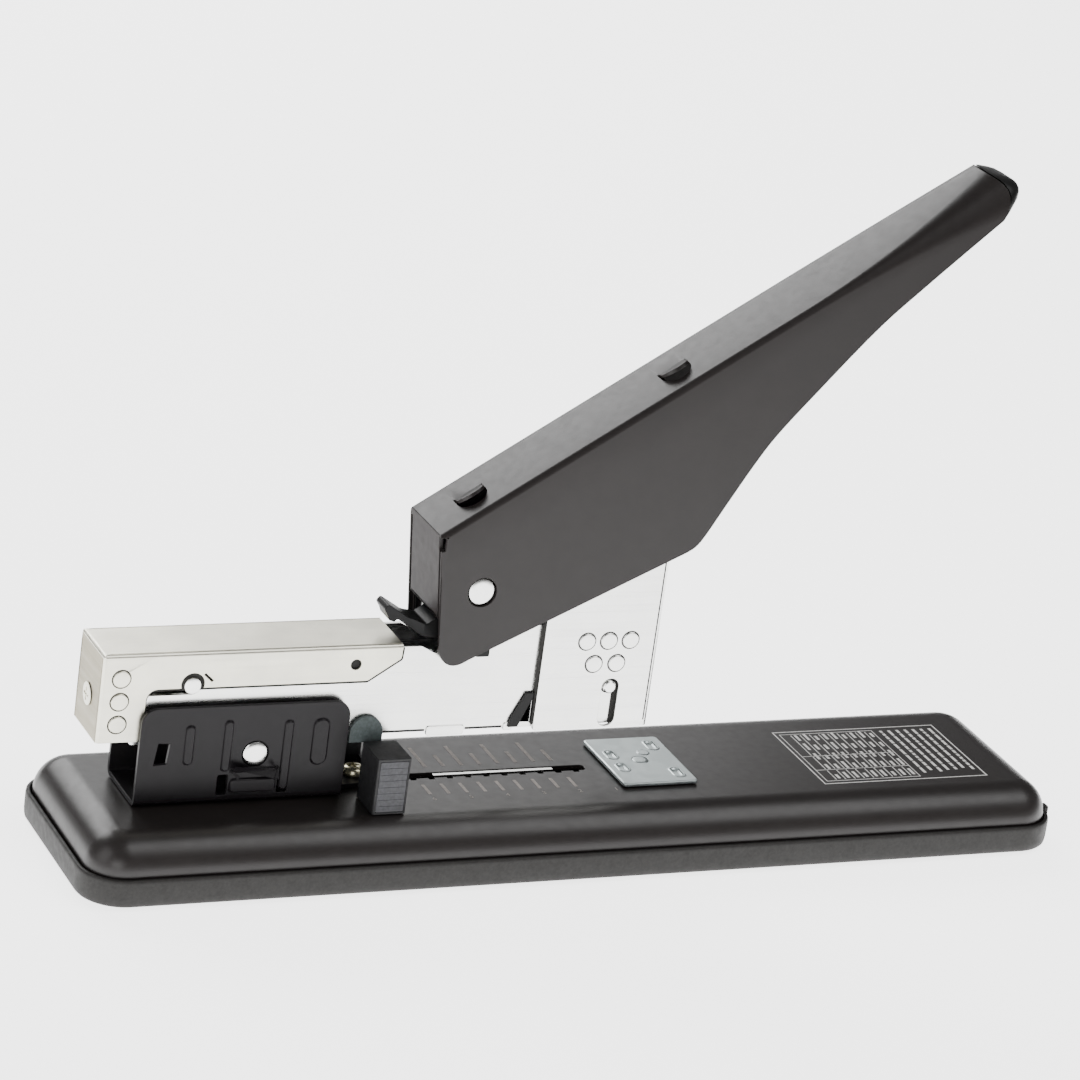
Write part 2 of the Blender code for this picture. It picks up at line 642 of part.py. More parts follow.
# ================================================================ rear cover
def cover_side():
    """Side outline of the rear cover: deep at the back, shallow over the bracket."""
    return rounded([
        (COVER_REAR, COVER_LOW, 0), (-117.6, COVER_LOW, 0), (-116.4, COVER_LOW + 1.2, 0),
        (-116.4, COVER_EDGE, 2.8), (-59.3, COVER_EDGE, 1.5), (COVER_FRONT - 0.2, 53.7, 0.8),
        (COVER_FRONT, COVER_TOP, 0), (COVER_REAR, COVER_TOP, 1.2)], 5)


def make_cover(carrier, follow, zinc, nickel, steel, plastic):
    """Sliding rear cover with its pin, tail block and rod, and the follower on the rod."""
    cover = part("rear_cover", prism(cover_side(), -COVER_HALF, COVER_HALF, "y"), zinc, carrier)
    inner = COVER_HALF - COVER_SHEET
    hollow = block((COVER_REAR + COVER_SHEET, COVER_FRONT + 5), (-inner, inner), (20, COVER_TOP - COVER_SHEET))
    cut(cover, hollow)
    ring = cylinder(3.0, -20, 20, (CROSS_PIN[0], 0, CROSS_PIN[1] + 0.4), "y", 28)
    vent = cylinder(1.4, -20, 20, (-62.8, 0, 52.6), "y", 20)
    back = cylinder(TAIL_BORE, COVER_REAR - 3, COVER_REAR + 3, (0, 0, TAIL_SCREW_Z), "x", 20)
    cut(cover, ring, vent, back)

    reach = COVER_HALF + 0.1
    pin = cylinder(CROSS_PIN_RADIUS, -reach, reach, (CROSS_PIN[0], 0, CROSS_PIN[1]), "y", 24)
    part("cover_cross_pin", pin, nickel, carrier)
    block_solid = block((COVER_REAR + COVER_SHEET + GAP, -121.6), (-6.0, 6.0), (38.0, 53.0))
    tail = part("cover_tail_block", block_solid, plastic, carrier)
    cut(tail, cylinder(TAIL_BORE, -140, -110, (0, 0, TAIL_SCREW_Z), "x", 20))
    screw = turned([(2.9, COVER_REAR - 0.5), (2.9, COVER_REAR - 0.2), (1.5, COVER_REAR - 0.2), (1.5, -122.6)],
                   (0, 0, TAIL_SCREW_Z), "x", 20)
    part("cover_tail_screw", screw, zinc, carrier)

    rod_start = CROSS_PIN[0] + CROSS_PIN_RADIUS + GAP
    part("follower_rod", cylinder(ROD_RADIUS, rod_start, 13.4, (0, 0, ROD_Z), "x", 16), steel, carrier)
    coil = helix((0, 0, ROD_Z), 1.95, rod_start + 0.8, 2.4, 12, "x", 8)
    part("follower_spring", tube(coil, 0.3, 4), steel, carrier)

    shape = rectangle((3.0, 15.2), (36.0, 52.2), 1.0, 2)
    follower = part("staple_follower", prism(shape, -6.2, 6.2, "y"), plastic, follow)
    bore = cylinder(ROD_RADIUS + GAP, -5, 20, (0, 0, ROD_Z), "x", 20)
    saddle = block((0, 20), (-RAIL_HALF - GAP, RAIL_HALF + GAP), (30, RAIL_TOP + GAP))
    cut(follower, bore, saddle)


# ================================================================ handle
def top_line(x):
    """Height of the handle's top at x."""
    return HANDLE_NOSE[1] + (x - HANDLE_NOSE[0]) * math.tan(HANDLE_SLOPE) - 0.2


def handle_stations():
    """(top x, bottom point) pairs from the front flap to the open grip end."""
    bottoms = [(-42.3, 57.6), (-41.6, 55.0), (-40.2, 53.0), (-38.2, 52.0), (-36.0, 52.2), (-33.6, 53.4),
               (-14.2, 62.8), (3.0, 71.1), (20.4, 79.5), (23.6, 81.2), (25.6, 83.2), (31.0, 92.6),
               (37.4, 103.8), (42.0, 110.9), (52.5, 123.7), (67.0, 140.4), (77.0, 150.0),
               (86.0, 158.3), (92.5, 164.2), (96.6, 167.9)]
    tops = [-45.2, -44.2, -42.8, -41.2, -39.2, -36.5, -20.0, -4.0, 12.0, 15.0, 18.0, 25.0,
            32.0, 38.0, 49.0, 63.0, 73.0, 82.0, 89.0, 93.5]
    return list(zip(tops, bottoms))


def shoulder_radius(x):
    """Outer radius of the top edges: tight at the front, half round at the grip."""
    share = min(max((x - GRIP_START) / (GRIP_END - GRIP_START), 0.0), 1.0)
    return 1.6 + 8.6 * share * share


def crown(x):
    """Top of the middle at x: it rises over the straight line as the shoulders grow."""
    return top_line(x) + CROWN_RISE * (shoulder_radius(x) - shoulder_radius(0))


def handle_section(station, half, inset, reach, step=0.0, bulge=0.0, chin=0.0):
    """Ring of points round one station of the handle.

    reach moves its lower edge along the side. step, bulge and chin push the ring out past
    the station: step all of it, bulge its middle, and chin a little below its middle.
    """
    top_x, low = station
    top = Vector((top_x, crown(top_x)))
    whole = (Vector(low) - top).length
    down = (Vector(low) - top).normalized()
    ahead = Vector((math.cos(HANDLE_SLOPE), math.sin(HANDLE_SLOPE)))
    radius = max(shoulder_radius(top_x) - inset, 0.5)
    ring = [(-half, max(whole - inset + reach, radius + 0.05))]
    ring += [(-half + radius - radius * math.cos(a), radius - radius * math.sin(a))
             for a in (math.pi / 10 * k for k in range(6))]
    ring += [(-y, d) for y, d in reversed(ring)]
    points = []
    for y, d in ring:
        share = min((d + inset) / whole, 1.0)
        push = step + (bulge * 4 + chin * 6.75 * share) * share * (1 - share)
        place = top + down * (d + inset) + ahead * push
        points.append(Vector((place.x, y, place.y)))
    return points


def lofted(rings):
    """Closed solid through equal rings that mirror left to right; strips across close its ends."""
    bm = bmesh.new()
    made = [[bm.verts.new(p) for p in ring] for ring in rings]
    count = len(rings[0])
    for a, b in zip(made, made[1:]):
        for i in range(count):
            j = (i + 1) % count
            bm.faces.new((a[i], a[j], b[j], b[i]))
    for ring in (made[0], made[-1]):
        for i in range(count // 2 - 1):
            bm.faces.new((ring[i], ring[i + 1], ring[count - 2 - i], ring[count - 1 - i]))
    bmesh.ops.recalc_face_normals(bm, faces=bm.faces)
    return bm


def make_handle(carrier, paint, steel, plastic):
    """Folded lever with its end cap, the stiffener with the cam on it, and its spring."""
    stations = handle_stations()
    tip = stations[-1]
    outer = [handle_section(station, HANDLE_HALF, 0.0, 0.0) for station in stations[:-1]]
    outer.append(handle_section(tip, HANDLE_HALF, 0.0, 0.0, 0.0, TIP_BULGE))
    shell = part("handle_shell", lofted(outer), paint, carrier)
    front = HANDLE_NOSE[0] + HANDLE_SHEET
    half = HANDLE_HALF - HANDLE_SHEET
    inside = [(front, (-41.0, 54.0))] + stations[5:-1]
    inner = [handle_section(station, half, HANDLE_SHEET, 2.0) for station in inside]
    inner += [handle_section(tip, half, HANDLE_SHEET, 2.0, step, TIP_BULGE) for step in (GAP, 8.0)]
    cut(shell, lofted(inner))
    opening = block((-50, -39.0), (-half + GAP, half - GAP), (40, FLAP_BOTTOM))
    hinge = cylinder(HINGE_RADIUS + 0.35, -20, 20, (HINGE[0], 0, HINGE[1]), "y")
    cut(shell, opening, hinge)

    plug = [handle_section(stations[-2], half - GAP, HANDLE_SHEET + GAP, -1.0)]
    plug.append(handle_section(tip, half - GAP, HANDLE_SHEET + GAP, -1.0, 0.4, TIP_BULGE))
    for step, shrink, chin in ((0.4, 0.4, 0.0), (0.8, 1.2, 1.6), (0.9, 2.6, 3.2), (0.9, 4.0, 4.0)):
        half = HANDLE_HALF - shrink
        plug.append(handle_section(tip, half, shrink * 1.4, -shrink * 0.1, step, TIP_BULGE, chin))
    part("handle_end_cap", lofted(plug), plastic, carrier)

    outline = rounded([(HINGE[0] - 6, HINGE[1] - 5.6, 4.5), (HINGE[0] + 6, HINGE[1] - 5.6, 4.5),
                       (-8, 75.5, 3.0), (3.0, CAM_Z, 2.0), (13.2, CAM_Z, 1.5), (14.0, 86.0, 1.5), (9.6, 99.0, 3.0),
                       (9.6, 118.2, 1.0), (-37.2, 88.4, 1.0)])
    stiff = part("handle_stiffener", prism(outline, -STIFFENER_HALF, STIFFENER_HALF, "y"), steel, carrier)
    pocket_half = STIFFENER_HALF - 1.2
    pocket = prism([(-45, 60), (-24.5, 60), (-24.5, 76.4), (-9, 77.6), (2.4, CAM_Z + 1.8), (11.6, CAM_Z + 1.8),
                    (12.4, 86.2), (8.2, 98.6), (8.2, 135), (-45, 110)], -pocket_half, pocket_half, "y")
    bore = cylinder(HINGE_RADIUS + 0.35, -20, 20, (HINGE[0], 0, HINGE[1]), "y")
    window = prism(rounded([(-20, 83, 2), (0, 90, 2), (4, 108, 2), (-24, 90, 2)]), -20, 20, "y")
    cut(stiff, pocket)
    cut(stiff, bore, window)

    radius = HINGE_RADIUS + 1.5
    coil = helix((HINGE[0], 0, HINGE[1]), radius, -3.4, 3.4, 4.25, "y", 12)
    start = coil[0] + Vector((3.0, 0, -9.0))
    end = coil[-1] + Vector((14.0, 0, 2.0))
    part("handle_return_spring", tube([start] + coil + [end], 0.6, 5), steel)


# ================================================================ driver
def make_driver(carrier, steel, zinc):
    """Driver blade behind the head's front wall, and the forked block with its roller."""
    blade = block(BLADE_X, (-BLADE_HALF, BLADE_HALF), (BLADE_BOTTOM, BLADE_TOP))
    part("driver_blade", blade, steel, carrier)
    body = part("driver_carrier", block(CARRIER_X, (-BLADE_HALF, BLADE_HALF), CARRIER_Z), zinc, carrier)
    fork = block((0, CARRIER_X[1] + 5), (-4.4, 4.4), (ROLLER[1] - ROLLER_RADIUS - GAP, 90))
    bore = cylinder(ROLLER_BORE, -20, 20, (ROLLER[0], 0, ROLLER[1]), "y", 20)
    cut(body, fork)
    cut(body, bore)
    roller = pierced(ROLLER_RADIUS, ROLLER_BORE, -4.1, 4.1, "y", (ROLLER[0], 0, ROLLER[1]))
    part("driver_roller", roller, steel, carrier)
    pin = cylinder(ROLLER_BORE - GAP, -6.2, 6.2, (ROLLER[0], 0, ROLLER[1]), "y", 20)
    part("roller_pin", pin, steel, carrier)


# ================================================================ release latch
def make_latch(carrier, black, steel):
    """Release lever with its thumb tip, and the coil inside it."""
    x, z = LATCH_PIN
    lever = rounded([(-53.4, 65.6, 0.5), (-54.4, 64.2, 0.5), (-53.2, 62.0, 0.3), (-52.0, 61.9, 0.3),
                     (-44.2, 57.4, 1.0), (x - 3.4, z - 3.4, 1.5), (x + 3.0, z - 3.4, 2.5),
                     (x + 3.2, z + 3.2, 2.5), (x - 3.0, z + 3.0, 2.0), (-43.4, 60.9, 1.0)], 3)
    made = part("release_latch", prism(lever, -4.6, 4.6, "y"), black, carrier)
    cut(made, cylinder(LATCH_PIN_RADIUS + GAP, -20, 20, (x, 0, z), "y", 20),
        block((x - 3.2, x + 12), (-3.2, 3.2), (z - 8, z + 8)))
    coil = helix((x, 0, z), 2.4, -2.6, 2.6, 3.25, "y", 8)
    part("latch_spring", tube(coil, 0.35, 4), steel)


def main():
    clear_scene()
    paint = material("black_paint", (0.035, 0.032, 0.032), 0.42, 0.0)
    plastic = material("black_plastic", (0.045, 0.043, 0.045), 0.6, 0.0)
    rubber = material("rubber", (0.02, 0.02, 0.02), 0.85, 0.0)
    nickel = material("nickel", (0.82, 0.82, 0.80), 0.22, 1.0)
    zinc = material("zinc", (0.66, 0.67, 0.66), 0.35, 1.0)
    cover_zinc = material("warm_zinc", (0.72, 0.70, 0.60), 0.33, 1.0)
    steel = material("steel", (0.56, 0.57, 0.58), 0.35, 1.0)
    yellow = material("yellow_zinc", (0.70, 0.60, 0.36), 0.35, 1.0)

    magazine = pivot("magazine_axis", PIVOT[0], 0, PIVOT[1])
    handle = pivot("handle_axis", HINGE[0], 0, HINGE[1], magazine)
    driver = pivot("driver_axis", BLADE_X[0], 0, BLADE_TOP, magazine)
    cover = pivot("cover_axis", COVER_REAR, 0, ROD_Z, magazine)
    follower = pivot("follower_axis", 15.2, 0, ROD_Z, cover)
    latch = pivot("latch_axis", LATCH_PIN[0], 0, LATCH_PIN[1], magazine)
    guide = pivot("guide_axis", GUIDE_X[1], 0, SHELL_TOP)
    lift = pivot("anvil_lift_axis", ANVIL_X, 0, ANVIL_BOTTOM)
    turn = pivot("anvil_turn_axis", ANVIL_X, 0, ANVIL_BOTTOM, lift)

    make_base(steel, plastic, rubber, paint)
    make_bracket(paint, nickel, yellow)
    make_guide(guide, plastic, steel)
    make_guide_rail(nickel)
    make_anvil(lift, turn, steel, zinc)
    make_frame(magazine, nickel, steel, plastic)
    make_head(magazine, nickel)
    make_hook(magazine, paint)
    make_lift(magazine, plastic, steel)
    make_cover(cover, follower, cover_zinc, nickel, steel, plastic)
    make_handle(handle, paint, steel, plastic)
    make_driver(driver, steel, zinc)
    make_latch(latch, paint, steel)


main()
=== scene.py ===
import math

import bmesh
import bpy
from mathutils import Matrix, Vector


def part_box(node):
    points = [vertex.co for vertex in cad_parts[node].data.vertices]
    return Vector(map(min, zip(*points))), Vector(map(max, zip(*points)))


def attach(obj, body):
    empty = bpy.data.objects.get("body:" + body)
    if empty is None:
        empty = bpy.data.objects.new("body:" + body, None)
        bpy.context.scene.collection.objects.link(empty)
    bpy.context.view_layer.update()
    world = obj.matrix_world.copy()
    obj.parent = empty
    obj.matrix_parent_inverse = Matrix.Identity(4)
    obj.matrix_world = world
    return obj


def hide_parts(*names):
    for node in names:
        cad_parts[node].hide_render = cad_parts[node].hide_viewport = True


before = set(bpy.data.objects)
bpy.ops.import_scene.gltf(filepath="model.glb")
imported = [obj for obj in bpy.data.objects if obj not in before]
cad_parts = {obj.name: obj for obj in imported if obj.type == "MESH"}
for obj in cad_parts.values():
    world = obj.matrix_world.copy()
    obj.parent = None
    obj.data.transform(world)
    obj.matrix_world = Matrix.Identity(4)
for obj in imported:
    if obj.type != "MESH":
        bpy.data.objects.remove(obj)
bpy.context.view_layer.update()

MM = 0.001


def box_mm(node):
    """Lowest and highest corner of a CAD node, in millimetres."""
    low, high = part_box(node)
    return low / MM, high / MM


def middle_of(node):
    """Centre of a CAD node's box, in millimetres."""
    low, high = box_mm(node)
    return (low + high) / 2


# ======== outlines
def arc(centre, radius, start, end, steps):
    """Points on an arc, angles in degrees, ends included."""
    points = []
    for i in range(steps + 1):
        angle = math.radians(start + (end - start) * i / steps)
        points.append((centre[0] + radius * math.cos(angle), centre[1] + radius * math.sin(angle)))
    return points


def rounded(corners, steps=6):
    """Closed outline from (a, b, radius) corners, each turned into an arc."""
    outline = []
    count = len(corners)
    for i, (a, b, radius) in enumerate(corners):
        here = Vector((a, b))
        if radius <= 0:
            outline.append((a, b))
            continue
        to_last = (Vector(corners[i - 1][:2]) - here).normalized()
        to_next = (Vector(corners[(i + 1) % count][:2]) - here).normalized()
        half = to_last.angle(to_next) / 2
        middle = here + (to_last + to_next).normalized() * radius / math.sin(half)
        start = here + to_last * radius / math.tan(half)
        end = here + to_next * radius / math.tan(half)
        first = math.atan2(start.y - middle.y, start.x - middle.x)
        last = math.atan2(end.y - middle.y, end.x - middle.x)
        turn = (last - first + math.pi) % (2 * math.pi) - math.pi
        for k in range(steps + 1):
            angle = first + turn * k / steps
            outline.append((middle.x + radius * math.cos(angle), middle.y + radius * math.sin(angle)))
    return outline


def rectangle(a, b, radius=0.0, steps=6):
    """Outline of a rectangle from a = (low, high) and b = (low, high)."""
    corners = ((a[0], b[0]), (a[1], b[0]), (a[1], b[1]), (a[0], b[1]))
    return rounded([(x, y, radius) for x, y in corners], steps)


def fold_outline(a, b, out_a, out_b, radius):
    """Outline that cuts a square corner at (a, b) back to a rounded fold; out_ are +1 or -1."""
    fold = [(a - out_a * radius * (1 - math.cos(turn)), b - out_b * radius * (1 - math.sin(turn)))
            for turn in (math.pi / 16 * k for k in range(9))]
    square = [(a - out_a * radius, b + out_b), (a + out_a, b + out_b), (a + out_a, b - out_b * radius)]
    return square + fold


def smooth(points, per_span):
    """Centripetal Catmull-Rom curve through points, which may have any number of values."""
    curve = []
    last = len(points) - 1
    for i in range(last):
        p0, p1, p2, p3 = (Vector(points[min(max(i + k, 0), last)]) for k in (-1, 0, 1, 2))
        t1 = max((p1 - p0).length, 1e-6) ** 0.5
        t2 = t1 + max((p2 - p1).length, 1e-6) ** 0.5
        t3 = t2 + max((p3 - p2).length, 1e-6) ** 0.5
        for k in range(per_span):
            t = t1 + (t2 - t1) * k / per_span
            a1 = p0.lerp(p1, t / t1)
            a2 = p1.lerp(p2, (t - t1) / (t2 - t1))
            a3 = p2.lerp(p3, (t - t2) / (t3 - t2))
            b1 = a1.lerp(a2, t / t2)
            b2 = a2.lerp(a3, (t - t1) / (t3 - t1))
            curve.append(b1.lerp(b2, (t - t1) / (t2 - t1)))
    curve.append(Vector(points[-1]))
    return curve


# ======== solids
def place_2d(point, depth, axis):
    """Point of an outline in space: axis names the extrusion direction."""
    if axis == "x":
        return Vector((depth, point[0], point[1]))
    if axis == "y":
        return Vector((point[0], depth, point[1]))
    return Vector((point[0], point[1], depth))


def level_ring(outline, height):
    """Ring of points from a plan outline, at one height."""
    return [Vector((a, b, height)) for a, b in outline]


def skin(rings, closed=True):
    """Mesh through equal rings of points, its two ends closed by flat faces."""
    bm = bmesh.new()
    made = [[bm.verts.new(p) for p in ring] for ring in rings]
    count = len(rings[0])
    for a, b in zip(made, made[1:]):
        for i in range(count):
            j = (i + 1) % count
            bm.faces.new((a[i], a[j], b[j], b[i]))
    if closed:
        bm.faces.new(made[0])
        bm.faces.new(made[-1])
    bmesh.ops.recalc_face_normals(bm, faces=bm.faces)
    return bm


def prism(outline, low, high, axis):
    """Solid from a closed outline, extruded from low to high along an axis."""
    return skin([[place_2d(p, depth, axis) for p in outline] for depth in (low, high)])


def block(x, y, z):
    """Rectangular solid from three (low, high) pairs."""
    return prism(rectangle(x, y), z[0], z[1], "z")


def turned(profile, centre, axis, sides=48):
    """Solid of revolution: profile is (radius, distance along the axis)."""
    rings = []
    for radius, along in profile:
        ring = []
        for i in range(sides):
            angle = 2 * math.pi * i / sides
            across = (radius * math.cos(angle), radius * math.sin(angle))
            ring.append(place_2d(across, along, axis) + Vector(centre))
        rings.append(ring)
    return skin(rings)


def cylinder(radius, low, high, centre, axis, sides=48):
    """Round bar; centre is the axis position, with 0 along the axis itself."""
    return turned([(radius, low), (radius, high)], centre, axis, sides)


def both_sides(outline, inner, outer):
    """The same flat solid near and far, between two distances from the middle plane."""
    return [prism(outline, *sorted((side * inner, side * outer)), "y") for side in (-1, 1)]


def through(outline):
    """Cutter with this outline that goes right across the stapler."""
    return prism(outline, -20, 20, "y")


def hole_across(radius, centre, sides=48):
    """Cutter for a round hole right across the stapler."""
    return cylinder(radius, -20, 20, (centre.x, 0, centre.z), "y", sides)


def hole_down(radius, x):
    """Cutter for a round upright hole through whatever lies on the base."""
    return cylinder(radius, 10, 25, (x, 0, 0), "z")


def wire(points, radius, sides=10):
    """Round wire along a list of points, with flat ends."""
    rings = []
    side = None
    for i, point in enumerate(points):
        before = points[max(i - 1, 0)]
        after = points[min(i + 1, len(points) - 1)]
        ahead = (Vector(after) - Vector(before)).normalized()
        if side is None:
            side = ahead.orthogonal().normalized()
        side = (side - ahead * side.dot(ahead)).normalized()
        other = ahead.cross(side)
        angles = [2 * math.pi * k / sides for k in range(sides)]
        rings.append([Vector(point) + (side * math.cos(a) + other * math.sin(a)) * radius for a in angles])
    return skin(rings)


def helix(centre, radius, low, high, turns, axis, steps=24):
    """Points of a coil about an axis line, from low to high along it, with closer end turns."""
    points = []
    total = int(turns * steps)
    for i in range(total + 1):
        angle = 2 * math.pi * i / steps
        share = i / total
        share = share - 0.06 * math.sin(2 * math.pi * share)
        across = (radius * math.cos(angle), radius * math.sin(angle))
        points.append(place_2d(across, low + (high - low) * share, axis) + Vector(centre))
    return points


def new_mesh(name, bm):
    """Mesh from a mesh being built, which it uses up."""
    mesh = bpy.data.meshes.new(name)
    bm.to_mesh(mesh)
    bm.free()
    return mesh


def new_object(name, data):
    """Object that holds this data, in the scene."""
    obj = bpy.data.objects.new(name, data)
    bpy.context.scene.collection.objects.link(obj)
    return obj


def combine(bm, operation, *tools):
    """Exact Boolean of closed meshes, one tool after another."""
    target, *helpers = (new_object("solid", new_mesh("solid", solid)) for solid in (bm, *tools))
    for helper in helpers:
        step = target.modifiers.new("Step", "BOOLEAN")
        step.object = helper
        step.operation = operation
        step.solver = "EXACT"
    result = bmesh.new()
    result.from_object(target, bpy.context.evaluated_depsgraph_get())
    for holder in [target] + helpers:
        mesh = holder.data
        bpy.data.objects.remove(holder)
        bpy.data.meshes.remove(mesh)
    return result


def cut(bm, *tools):
    return combine(bm, "DIFFERENCE", *tools)


def fuse(bm, *tools):
    return combine(bm, "UNION", *tools)


def together(*solids):
    """One mesh holding several separate solids."""
    joined = bmesh.new()
    for solid in solids:
        carrier = new_mesh("carrier", solid)
        joined.from_mesh(carrier)
        bpy.data.meshes.remove(carrier)
    return joined


def moved(bm, matrix):
    """The same mesh, moved and turned by a matrix."""
    bmesh.ops.transform(bm, matrix=matrix, verts=bm.verts)
    return bm


def cad_solid(node):
    """The CAD node's own shape, in millimetres, as the start of a finer one."""
    bm = bmesh.new()
    bm.from_mesh(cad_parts[node].data)
    bmesh.ops.scale(bm, vec=(1 / MM, 1 / MM, 1 / MM), verts=bm.verts)
    bmesh.ops.remove_doubles(bm, verts=bm.verts, dist=0.0005)
    bmesh.ops.dissolve_limit(bm, angle_limit=math.radians(0.5), verts=bm.verts, edges=bm.edges)
    return bm


# ======== pieces
SMOOTH_ANGLE = math.radians(32)


def soften(obj, width, segments=2):
    """Small rounded edges, which catch the light as folded and moulded edges do."""
    step = obj.modifiers.new("Soft edges", "BEVEL")
    step.width = width * MM
    step.segments = segments
    step.limit_method = "ANGLE"
    step.angle_limit = SMOOTH_ANGLE
    step.use_clamp_overlap = False
    step.harden_normals = True


def piece(name, bm, body, look, nodes=(), bevel=0.0, segments=2, sharp=SMOOTH_ANGLE):
    """A finished mesh in millimetres as a piece that rides on a body."""
    bmesh.ops.scale(bm, vec=(MM, MM, MM), verts=bm.verts)
    mesh = new_mesh(name, bm)
    mesh.shade_smooth()
    mesh.set_sharp_from_angle(angle=sharp)
    mesh.materials.append(LOOKS[look])
    obj = new_object(name, mesh)
    if bevel:
        soften(obj, bevel, segments)
    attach(obj, body)
    if nodes:
        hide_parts(*nodes)
    return obj


def shade_rear_faces(obj, look, limit):
    """Darker shaded look on the faces turned to the rear, -x, that lie behind a limit in x: painted shade.
    """
    obj.data.materials.append(LOOKS[look])
    for face in obj.data.polygons:
        if face.normal.x < -0.9 and face.center.x < limit * MM:
            face.material_index = 1


def rivet(name, node, body, ends, sides=48):
    """Pin across the stapler; ends lists (radius lost, depth) from each end face inwards."""
    low, high = box_mm(node)
    centre = middle_of(node)
    radius = (high.x - low.x) / 2
    profile = [(radius - lost, low.y + depth) for lost, depth in ends]
    profile += [(radius - lost, high.y - depth) for lost, depth in reversed(ends)]
    piece(name, turned(profile, (centre.x, 0, centre.z), "y", sides), body, "bright_pin", [node])


# ======== surfaces
LOOKS = {}


def new_look(name, slot, colour, metallic, roughness, specular=0.5):
    """Material kept in LOOKS under its name; slot is what the library calls the finish."""
    look = bpy.data.materials.new(name)
    look.use_nodes = True
    look["slot"] = slot
    shader = shader_of(look)
    shader.inputs["Base Color"].default_value = (*colour, 1)
    shader.inputs["Metallic"].default_value = metallic
    shader.inputs["Roughness"].default_value = roughness
    shader.inputs["Specular IOR Level"].default_value = specular
    LOOKS[name] = look
    return look


def shader_of(look):
    return look.node_tree.nodes["Principled BSDF"]


def node(look, kind, **values):
    """New shader node with some of its inputs set."""
    made = look.node_tree.nodes.new(kind)
    for name, value in values.items():
        made.inputs[name.replace("_", " ")].default_value = value
    return made


def join(look, output, socket):
    look.node_tree.links.new(output, socket)


def own_place(look):
    """Place on the piece, in its own axes."""
    return node(look, "ShaderNodeTexCoord").outputs["Object"]


def noise(look, scale, detail=3.0, stretch=(1, 1, 1), rough=0.55):
    """Noise over the piece's own place: scale is in features per metre."""
    place = own_place(look)
    spread = node(look, "ShaderNodeMapping", Scale=stretch)
    join(look, place, spread.inputs["Vector"])
    pattern = node(look, "ShaderNodeTexNoise", Scale=scale, Detail=detail, Roughness=rough)
    join(look, spread.outputs["Vector"], pattern.inputs["Vector"])
    return pattern.outputs["Fac"]


def spots(look, scale):
    """Cell pattern over the piece's own place, for grains and pebbles."""
    place = own_place(look)
    pattern = node(look, "ShaderNodeTexVoronoi", Scale=scale)
    pattern.feature = "SMOOTH_F1"
    join(look, place, pattern.inputs["Vector"])
    return pattern.outputs["Distance"]


def tint(look, factor, colour_low, colour_high, low=0.3, high=0.7):
    """Surface colour that follows a pattern between two colours."""
    stops = node(look, "ShaderNodeValToRGB")
    for stop, at, colour in zip(stops.color_ramp.elements, (low, high), (colour_low, colour_high)):
        stop.position = at
        stop.color = (*colour, 1)
    join(look, factor, stops.inputs["Fac"])
    join(look, stops.outputs["Color"], shader_of(look).inputs["Base Color"])


def rough(look, factor, low, high):
    """Roughness that follows a pattern between two values."""
    scale = node(look, "ShaderNodeMapRange", From_Min=0.3, From_Max=0.7, To_Min=low, To_Max=high)
    join(look, factor, scale.inputs["Value"])
    join(look, scale.outputs["Result"], shader_of(look).inputs["Roughness"])


def relief(look, *layers):
    """Stacked bumps: each layer is (pattern, depth in millimetres, strength)."""
    normal = None
    for height, depth, strength in layers:
        bump = node(look, "ShaderNodeBump", Strength=strength, Distance=depth * MM)
        join(look, height, bump.inputs["Height"])
        if normal is not None:
            join(look, normal, bump.inputs["Normal"])
        normal = bump.outputs["Normal"]
    join(look, normal, shader_of(look).inputs["Normal"])


def shades(colour, spread):
    """A colour a little darker and a little lighter."""
    return tuple(c * (1 - spread) for c in colour), tuple(c * (1 + spread) for c in colour)


def painted(name, slot, colour, gloss, specular, pebble):
    """Stoved enamel or powder coat on sheet steel: soft orange peel and cloudy gloss."""
    look = new_look(name, slot, colour, 0.0, gloss, specular)
    tint(look, noise(look, 90, 5), *shades(colour, 0.08))
    rough(look, noise(look, 420, 5), gloss - 0.03, gloss + 0.04)
    relief(look, (noise(look, 700, 2), 0.012, 0.35), (spots(look, pebble), 0.010, 0.4))


def moulded(name, slot, colour, gloss, grain, depth=0.03):
    """Spark-eroded plastic: fine grain and an uneven sheen."""
    look = new_look(name, slot, colour, 0.0, gloss, 0.3)
    tint(look, noise(look, grain * 0.5, 5), *shades(colour, 0.2), 0.35, 0.65)
    rough(look, noise(look, 500, 4), gloss - 0.06, gloss + 0.06)
    relief(look, (noise(look, grain, 3), depth, 0.55), (spots(look, grain * 1.6), depth * 0.5, 0.3))


def plated(name, slot, colour, gloss, brushed=(0.03, 1, 1), cloudy=0.05, depth=0.002):
    """Plated sheet metal: rolling lines one way and a cloudy gloss."""
    look = new_look(name, slot, colour, 1.0, gloss)
    tint(look, noise(look, 70, 5), *shades(colour, cloudy))
    lines = noise(look, 2600, 4, brushed)
    rough(look, noise(look, 900, 4, brushed), gloss - 0.05, gloss + 0.08)
    relief(look, (lines, depth, 0.35), (noise(look, 240, 3), depth * 2, 0.2))


def spangled(name, slot, colour, gloss):
    """Zinc-plated pressed plate: small crystal patches and a satin bead-blast grain."""
    look = new_look(name, slot, colour, 1.0, gloss)
    patches = spots(look, 420)
    tint(look, patches, *shades(colour, 0.08), 0.1, 0.9)
    rough(look, patches, gloss - 0.06, gloss + 0.08)
    relief(look, (noise(look, 2400, 3), 0.012, 0.5), (patches, 0.006, 0.3))


def soft_rubber(name, slot, colour):
    """Dull black rubber with a coarse skin."""
    look = new_look(name, slot, colour, 0.0, 0.85, 0.3)
    tint(look, noise(look, 500, 4), *shades(colour, 0.3))
    rough(look, noise(look, 350, 3), 0.78, 0.92)
    relief(look, (noise(look, 1500, 4), 0.03, 0.5))


